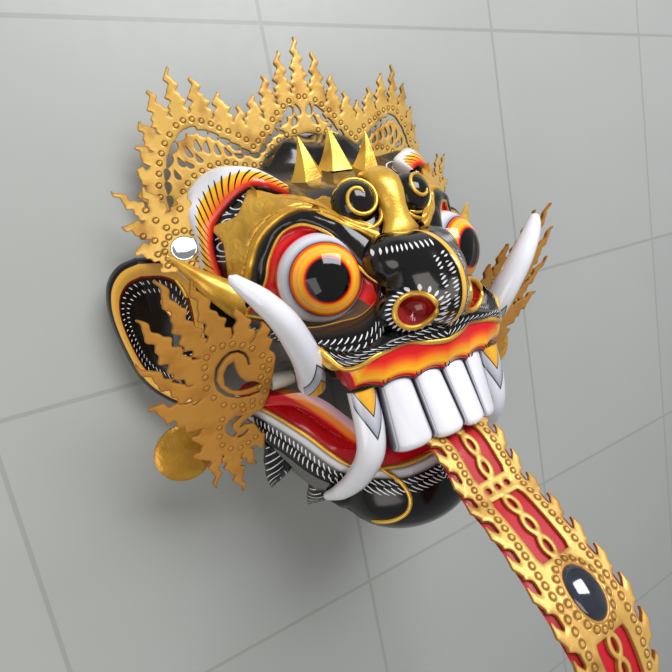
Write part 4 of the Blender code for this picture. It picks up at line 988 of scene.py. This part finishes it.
# Painted highlight: the red turns lighter partway from the rim towards the ball, then darker again by the ball; under
# the ball the socket is brown.
socketRed = lacquer("red socket enamel, brown under the ball", [(0, "#A90D16"), (0.12, "#D0141E"), (0.3, "#E2343A"), (0.42, "#C8101C"),
    (0.49, "#8A0A12"), (0.51, "#6B5446"), (0.7, "#5A4638"), (1, "#3A2C24")], rough=0.15)
eyePaint = lacquer("painted eyeball", [(0, "#0B0A0A"), (0.305, "#0B0A0A"), (0.315, "#B3121A"), (0.335, "#D8281C"), (0.345, "#F37A1E"), (0.38,
    "#F9A91C"), (0.43, "#FCC024"), (0.437, "#F08C8A"),
                                       (0.45, "#F08C8A"), (0.455, "#FFBE1C"), (0.505, "#FDB01A"), (0.52, "#F0641C"), (0.56, "#E2441C"), (0.565,
                                       "#191416"), (0.575, "#191416"), (0.58, "#7C7D88"),
                                       (0.63, "#BFC0CA"), (0.70, "#D8D8DE"), (0.84, "#D0D0DA"), (0.86, "#F2B6A8"), (0.9, "#D8303A"), (1, "#B8101A")],
                                       rough=0.06)
eyeCentre = np.array([56.4, 65.0, 136.0])
eyeRadius = 34
gaze = np.array([0.292, 0.0, 0.9564])
gazeSide = np.array([0.9564, 0.0, -0.292])
gazeUp = np.array([0.0, 1.0, 0.0])


def eyeBall(side):
    theta = np.radians(np.linspace(0.2, 105, 110))[:, None, None]
    phi = np.linspace(0, 2 * math.pi, 129)[None, :, None]
    rows = eyeCentre + eyeRadius * (np.cos(theta) * gaze + np.sin(theta) * (np.cos(phi) * gazeSide + np.sin(phi) * gazeUp))
    rows[..., 0] *= side
    points = rows.reshape(-1, 3)
    paint = np.stack(np.broadcast_arrays(phi[..., 0] * eyeRadius, theta[..., 0] / (math.pi / 2) * 1.05), axis=2).reshape(-1, 2)
    piece("eyeball", points, facing(points, quads(110, 129), eyeCentre * [side, 1, 1]), eyePaint, ("face",), paint)


def eyeSocket(side):
    # From the rim down to the ball: each rim point meets the ball along its own direction.
    rim = np.vstack([rimLoop, rimLoop[:1]])
    rel = rim - eyeCentre
    out = rel @ gaze
    sideways, upward = rel @ gazeSide, rel @ gazeUp
    theta = np.arctan2(np.hypot(sideways, upward), out)
    phi = np.arctan2(upward, sideways)
    meet = np.clip(theta, 0, math.radians(80))[:, None]
    ball = eyeCentre + (eyeRadius - 0.4) * (np.cos(meet) * gaze + np.sin(meet) * (np.cos(phi)[:, None] * gazeSide + np.sin(phi)[:, None] * gazeUp))
    share = np.linspace(0, 1, 15)
    rows = rim[:, None] * (1 - share)[None, :, None] + ball[:, None] * share[None, :, None]
    rows = rows - gaze * (3.5 * 4 * share * (1 - share))[None, :, None]
    rows[..., 0] *= side
    points = rows.reshape(-1, 3)
    under = np.arange(len(rim)) > 66
    tone = np.where(under[:, None], 0.51 + 0.49 * share, 0.49 * share)
    paint = np.stack(np.broadcast_arrays(lengths(rim)[:, None], tone), axis=2).reshape(-1, 2)
    piece("eye socket", points, facing(points, quads(len(rim), 15)), socketRed, ("face",), paint)


for side in (-1, 1):
    eyeBall(side)
    eyeSocket(side)
    ribbon("arch", face["archOut"], face["archIn"], archPaint, 7.0, 180, 25, 0.5, side, 12)
    ribbon("gilt leaf", face["leafTop"], face["goldTop"], leafGilt, 2.2, 160, 25, 0.35, side)
    ribbon("gold band", face["goldTop"], face["blackTop"], browGold, 2.6, 150, 15, 0.5, side)
    ribbon("black band", face["blackTop"], face["rimTop"], browBlack, 4.0, 150, 21, 0.5, side)
    ribbon("eye bag", face["rimLow"], face["bagLow"], bagPaint, 6.5, 140, 25, 0.5, side)
    ribbon("moustache", face["muzzleTop"], face["lip"], moustachePaint, 3.0, 120, 15, 0.5, side)
    for key in ("rimTop", "rimLow"):
        bead("rim line", [(side * x, y, z + 0.6) for x, y, z in face[key]], 1.3, lineGold, "face")
print("eyes set")

# The gum follows the scallops over the teeth; its paint runs by distance from their edge.
gumPaint = lacquer("gum enamel, red edge to red lip", [(0, "#A50D18"), (0.075, "#C8141E"), (0.09, "#F4791E"), (0.17, "#FBC02A"), (0.23, "#F9A81E"),
    (0.31, "#F5861E"), (0.4, "#E8481E"), (0.5, "#D0181E"), (1, "#B80F1A")], rough=0.12)
x = np.linspace(-73, 73, 260)
low = gumEdge(x)
lipLine = smoothLine(face["lip"], 90)
high = np.interp(np.abs(x), lipLine[:, 0], lipLine[:, 1]) + 1
highZ = np.interp(np.abs(x), lipLine[:, 0], lipLine[:, 2]) - 1
share = np.linspace(0, 1, 33)
rows = np.stack(np.broadcast_arrays(x[:, None], high[:, None] * (1 - share) + low[:, None] * share,
                                    highZ[:, None] * (1 - share) + (191.5 - 0.0036 * x[:,
                                    None] ** 2) * share + 3.4 * (4 * share * (1 - share)) ** 0.6), axis=2)
rows = np.concatenate([rows, rows[:, -1:] + [0, 0.6, -1.6], rows[:, -1:] + [0, 2, -9]], axis=1)
points = rows.reshape(-1, 3)
edgeLoop = [(-73, 60)] + list(zip(x, low)) + [(73, 60)]
paint = np.stack([points[:, 0], np.clip(-contourDistance(points[:, 0], points[:, 1], [edgeLoop]) / 34, 0, 1)], axis=1)
piece("gum", points, facing(points, quads(260, 35)), gumPaint, ("face",), paint)
for middle in (-48, -24, 0, 24, 48):
    # Small black hooks painted over the gum's cusps
    foot = float(gumEdge(middle)) + 3
    for step in (-1.7, 1.7):
        hook = [(middle + step * 1.3, foot + 3.4, 196.6 - 0.0036 * middle ** 2), (middle + step, foot + 1, 196.4 - 0.0036 * middle ** 2),
            (middle + 0.3 * step, foot, 196.2 - 0.0036 * middle ** 2)]
        bead("gum mark", hook, 0.45, blackLacquer, "face", 12, 8)
# Painted shadow: a dark grey bead just under the gum's edge, where the gum shades the tooth tops.
gumShade = lacquer("painted shadow under the gum", [(0, "#3E3F46"), (1, "#3E3F46")])
bead("gum shade", [(p, float(gumEdge(p)) - 0.4, 190.2 - 0.0036 * p ** 2) for p in np.linspace(-69, 69, 120)], 0.9, gumShade, "face",
    200, 8)
bead("upper lip", [(-x, y, z) for x, y, z in face["lip"][:0:-1]] + face["lip"], 2.2, lineGold, "face", 200, 12)
print("mouth made")

# Nose, volutes, bridge and spikes

nose = {
    "centre": (0, 50, 180),
    "forms": [((0, 57, 176), (31, 30, 41)), ((0, 50, 181), (13, 33, 44)), ((0, 42, 180), (25, 26, 41)), ((20, 35, 185), (24, 17, 22)),
    ((-20, 35, 185), (24, 17, 22)),
              ((17, 70, 168), (21, 19, 28)), ((-17, 70, 168), (21, 19, 28)), ((19, 45, 170), (14, 15, 24)), ((-19, 45, 170), (14, 15, 24))],
    "nostril": (27, 35.5, 206),
    "nostrilSize": (14, 12, 14),
}


def noseReach(d):
    # How far a ray from the centre goes before it leaves the joined ellipsoids, with rounded creases.
    total = 0
    for middle, size in nose["forms"]:
        o = (np.array(nose["centre"], float) - middle) / size
        q = d / np.array(size, float)
        a, b, c = (q * q).sum(-1), (q * o).sum(-1), (o * o).sum() - 1
        root = b * b - a * c
        reach = np.where(root > 0, (-b + np.sqrt(np.maximum(root, 0))) / a, 0)
        total = total + np.exp(np.clip(reach, 0, 80) / 2.2)
    return 2.2 * np.log(total)


theta = np.radians(np.linspace(0.2, 128, 200))[:, None]
phi = np.linspace(0, 2 * math.pi, 241)[None, :]
d = np.stack(np.broadcast_arrays(np.sin(theta) * np.cos(phi), np.sin(theta) * np.sin(phi), np.cos(theta) + 0 * phi), axis=2)
reach = noseReach(d)
deep = np.zeros(reach.shape)
for side in (-1, 1):
    # Where the skin lies inside the nostril, it falls back to the nostril's far wall.
    o = (np.array(nose["centre"], float) - np.array(nose["nostril"]) * [side, 1, 1]) / nose["nostrilSize"]
    q = d / np.array(nose["nostrilSize"])
    a, b, c = (q * q).sum(-1), (q * o).sum(-1), (o * o).sum() - 1
    root = np.maximum(b * b - a * c, 0)
    entry, leave = (-b - np.sqrt(root)) / a, (-b + np.sqrt(root)) / a
    inside = (root > 0) & (entry < reach) & (leave > reach)
    deep = np.where(inside, reach - entry, deep)
    reach = np.where(inside, entry, reach)
points = (np.array(nose["centre"], float) + d * reach[..., None]).reshape(-1, 3)
paint = np.stack([points[:, 1], np.abs(points[:, 0]) / 50], axis=1)
o = (np.abs(points) * np.where(points < 0, [1, -1, -1], 1) - np.array(nose["nostril"])) / nose["nostrilSize"]
rimAway = (np.linalg.norm(o, axis=1) - 1) * 13
rimTurn = np.arctan2(o[:, 1], o[:, 0]) / (2 * math.pi)
# Black gloss with a gold ridge and rows of white commas; the nostrils are dark red
material, tree, shader = blank("nose lacquer", 0.12, coat=0.4)
split = add(tree, "ShaderNodeSeparateXYZ", {0: add(tree, "ShaderNodeUVMap", uv_map="paint").outputs[0]})
height, aside = split.outputs[0], split.outputs[1]
away = add(tree, "ShaderNodeAttribute", attribute_name="rimAway").outputs["Fac"]
around = add(tree, "ShaderNodeAttribute", attribute_name="rimTurn").outputs["Fac"]
colour = ramp(tree, aside, [(0, "#E8B94A"), (0.036, "#DDA93C"), (0.04, "#0D0B0A"), (1, "#0D0B0A")])
for low, high, period in ((0.065, 0.125, 2.8), (0.155, 0.215, 3.0)):
    row = commas(tree, calc(tree, "DIVIDE", height, period), aside, low, high, 0.8, 0.9)
    group = calc(tree, "LESS_THAN", calc(tree, "FRACT", calc(tree, "DIVIDE", height, period * 4)), 0.75)
    group = calc(tree, "MULTIPLY", group, calc(tree, "LESS_THAN", height, 71.0))
    colour = blend(tree, calc(tree, "MULTIPLY", row, group), colour, "#E4E4E8")
hooks = commas(tree, calc(tree, "MULTIPLY", aside, 19.0), height, 75.0, 80.0, 0.6, 0.8)
colour = blend(tree, calc(tree, "MULTIPLY", hooks, calc(tree, "GREATER_THAN", aside, 0.09)), colour, "#E4E4E8")
colour = blend(tree, commas(tree, calc(tree, "MULTIPLY", around, 24.0), away, 1.5, 6.5, 0.4, 0.8), colour, "#E4E4E8")
depth = add(tree, "ShaderNodeAttribute", attribute_name="ring").outputs["Fac"]
colour = blend(tree, calc(tree, "GREATER_THAN", depth, 0.4), colour, "#8E0F12")
finish(tree, shader, colour, 0.14, 30.0, 0.08)
piece("nose", points, facing(points, quads(200, 241), nose["centre"]), material, ("face",), paint, {"ring": deep.ravel(),
    "rimAway": rimAway, "rimTurn": rimTurn})
for side in (-1, 1):
    # The nostril's gold rim stands where its ellipsoid leaves the nose.
    middle = np.array(nose["nostril"]) * [side, 1, 1]
    rim = []
    for turn in np.linspace(0, 2 * math.pi, 49):
        for tilt in np.radians(np.arange(5, 150, 0.5)):
            p = middle + np.array(nose["nostrilSize"]) * [math.sin(tilt) * math.cos(turn), math.sin(tilt) * math.sin(turn), math.cos(tilt)]
            away = p - nose["centre"]
            if np.linalg.norm(away) < noseReach(away / np.linalg.norm(away)):
                rim.append(p)
                break
    bead("nostril rim", rim, 1.9, lineGold, "face", 120)

volute = {"centre": (24.5, 112.8, 148), "radius": 17.5, "axis": (0.2, 0.25, 0.95)}
# Faint painted sheen: the black ball is a little lighter in a ring around its front.
voluteBlack = lacquer("black volute with a faint painted sheen", [(0, "#0E0C0A"), (0.3, "#1B1714"), (1, "#0E0C0A")], rough=0.12)
for side in (-1, 1):
    middle = np.array(volute["centre"], float) * [side, 1, 1]
    axis = np.array(volute["axis"]) * [side, 1, 1]
    axis /= np.linalg.norm(axis)
    first = np.cross(axis, [0, 1, 0])
    first /= np.linalg.norm(first)
    second = np.cross(axis, first)
    theta = np.radians(np.linspace(0.3, 120, 50))[:, None, None]
    phi = np.linspace(0, 2 * math.pi, 65)[None, :, None]
    rows = middle + volute["radius"] * (np.cos(theta) * axis + np.sin(theta) * (np.cos(phi) * first + np.sin(phi) * second))
    points = rows.reshape(-1, 3)
    paint = np.stack(np.broadcast_arrays(phi[..., 0] * 16, theta[..., 0] / 2.1), axis=2).reshape(-1, 2)
    piece("volute", points, facing(points, quads(50, 65), middle), voluteBlack, ("face",), paint)
    t = np.linspace(0, 1, 90)
    lean = np.radians(70 - 60 * t)[:, None]
    around = (side * (0.9 + 2.6 * math.pi * t))[:, None]
    spiral = middle + (volute["radius"] + 0.3) * (np.cos(lean) * axis + np.sin(lean) * (np.cos(around) * first + np.sin(around) * second))
    bead("volute line", spiral[::3], 1.35, lineGold, "face", 160)
    tail = smoothLine([(side * x, y) for x, y in ((9, 108), (12, 100), (19, 95), (29, 94), (38, 98), (46, 106), (54, 112))], 50)
    bead("volute tail", np.column_stack([tail, guide(tail[:, 0], tail[:, 1]) + 1.2]), 1.7, lineGold, "face", 70)

bridgeGold = gilt("gold bridge with incised marks", "#E6B548", "#A87628", 0.32, 0.5, 70.0, 0.0006)
horn("nose bridge", [(0, 134, 132), (0, 131, 148), (0, 124, 156), (0, 115, 160), (0, 105, 162), (0, 95, 164), (0, 87, 166), (0, 79, 165)],
     [(7, 4), (11.5, 7), (13, 8.5), (11.5, 9), (10, 9), (11.5, 9), (17, 9), (22, 6)], bridgeGold, ("face",), 80, 40)
for (foot, tip, radius) in face["spikes"]:
    for side in ((-1, 1) if foot[0] else (1,)):
        path = [(side * ((1 - t) * foot[0] + t * tip[0]), (1 - t) * foot[1] + t * tip[1],
            (1 - t) * foot[2] + t * tip[2] + 8 * t * (1 - t)) for t in (0, 0.25, 0.5, 0.75, 1)]
        obj = horn("forehead spike", path, [(radius * k, radius * 0.8 * k) for k in (1, 0.68, 0.43, 0.22, 0.03)], bridgeGold, ("face",),
            30, 6)
        obj.data.set_sharp_from_angle(angle=math.radians(30))
for side in (-1, 1):
    horn("temple spike", [(side * x, y, z) for x, y, z in ((95, 50, 84), (109, 60, 90), (128, 77, 89), (150, 102, 79))], [(15, 14), (13.5, 12.5),
        (8.5, 8), (0.7, 0.7)],
         lineGold, ("face",), 50, 24)
print("nose and spikes made")

# Floor, camera and light

# Pale stone tiles with faint joints
material, tree, shader = blank("pale floor tiles", 0.4)
grid = add(tree, "ShaderNodeTexBrick", {"Vector": add(tree, "ShaderNodeTexCoord").outputs["Object"], "Color1": linear("#A3A5A1"),
    "Color2": linear("#A0A29E"), "Mortar": linear("#94968F"),
                                        "Scale": 1.0, "Mortar Size": 0.002, "Brick Width": 0.3, "Row Height": 0.3}, offset=0.0)
finish(tree, shader, grid.outputs["Color"], 0.42, 8.0, 0.03, 0.0001)
floorHalf = 6.0
mesh = bpy.data.meshes.new("floor")
mesh.from_pydata([(x * floorHalf, y * floorHalf, 0) for x, y in ((-1, -1), (1, -1), (1, 1), (-1, 1))], [], [(0, 1, 2, 3)])
mesh.materials.append(material)
floor = bpy.data.objects.new("floor", mesh)
bpy.context.scene.collection.objects.link(floor)

# The photo's camera, fitted to the mask's features: place in metres, axes, lens in mm
shot = {"place": (-0.2213, 0.0905, 0.469), "right": (0.861, -0.183, 0.475), "up": (0.249, 0.966, -0.079), "ahead": (0.444, -0.186, -0.876),
    "lens": 26.79, "sensor": 36}
camera = bpy.data.cameras.new("camera")
camera.lens = shot["lens"]
camera.sensor_width = shot["sensor"]
camera.clip_start = 0.01
cameraObject = bpy.data.objects.new("camera", camera)
bpy.context.scene.collection.objects.link(cameraObject)
right, up, ahead = (Vector(shot[key]) for key in ("right", "up", "ahead"))
cameraObject.matrix_world = Matrix.Translation(shot["place"]) @ Matrix((right, up, -ahead)).transposed().to_4x4()
bpy.context.scene.camera = cameraObject


def areaLight(name, place, target, size, power, colour="#FFFFFF"):
    light = bpy.data.lights.new(name, "AREA")
    light.shape = "RECTANGLE"
    light.size, light.size_y = size
    light.energy = power
    light.color = linear(colour)[:3]
    obj = bpy.data.objects.new(name, light)
    obj.location = place
    obj.rotation_euler = (Vector(target) - Vector(place)).to_track_quat("-Z", "Y").to_euler()
    bpy.context.scene.collection.objects.link(obj)


areaLight("window light", (0.5, 1.5, 1.6), (0, 0, 0.1), (1.6, 1.0), 62, "#FBFCFF")
areaLight("fill light", (-1.6, -0.4, 1.3), (0, 0, 0.1), (1.4, 1.4), 16, "#FFF8F0")
world = bpy.data.worlds.new("studio")
world.use_nodes = True
world.node_tree.nodes["Background"].inputs[0].default_value = linear("#E4E8EC")
world.node_tree.nodes["Background"].inputs[1].default_value = 0.36
bpy.context.scene.world = world
bpy.context.scene.view_settings.view_transform = "Standard"
print("stage set")
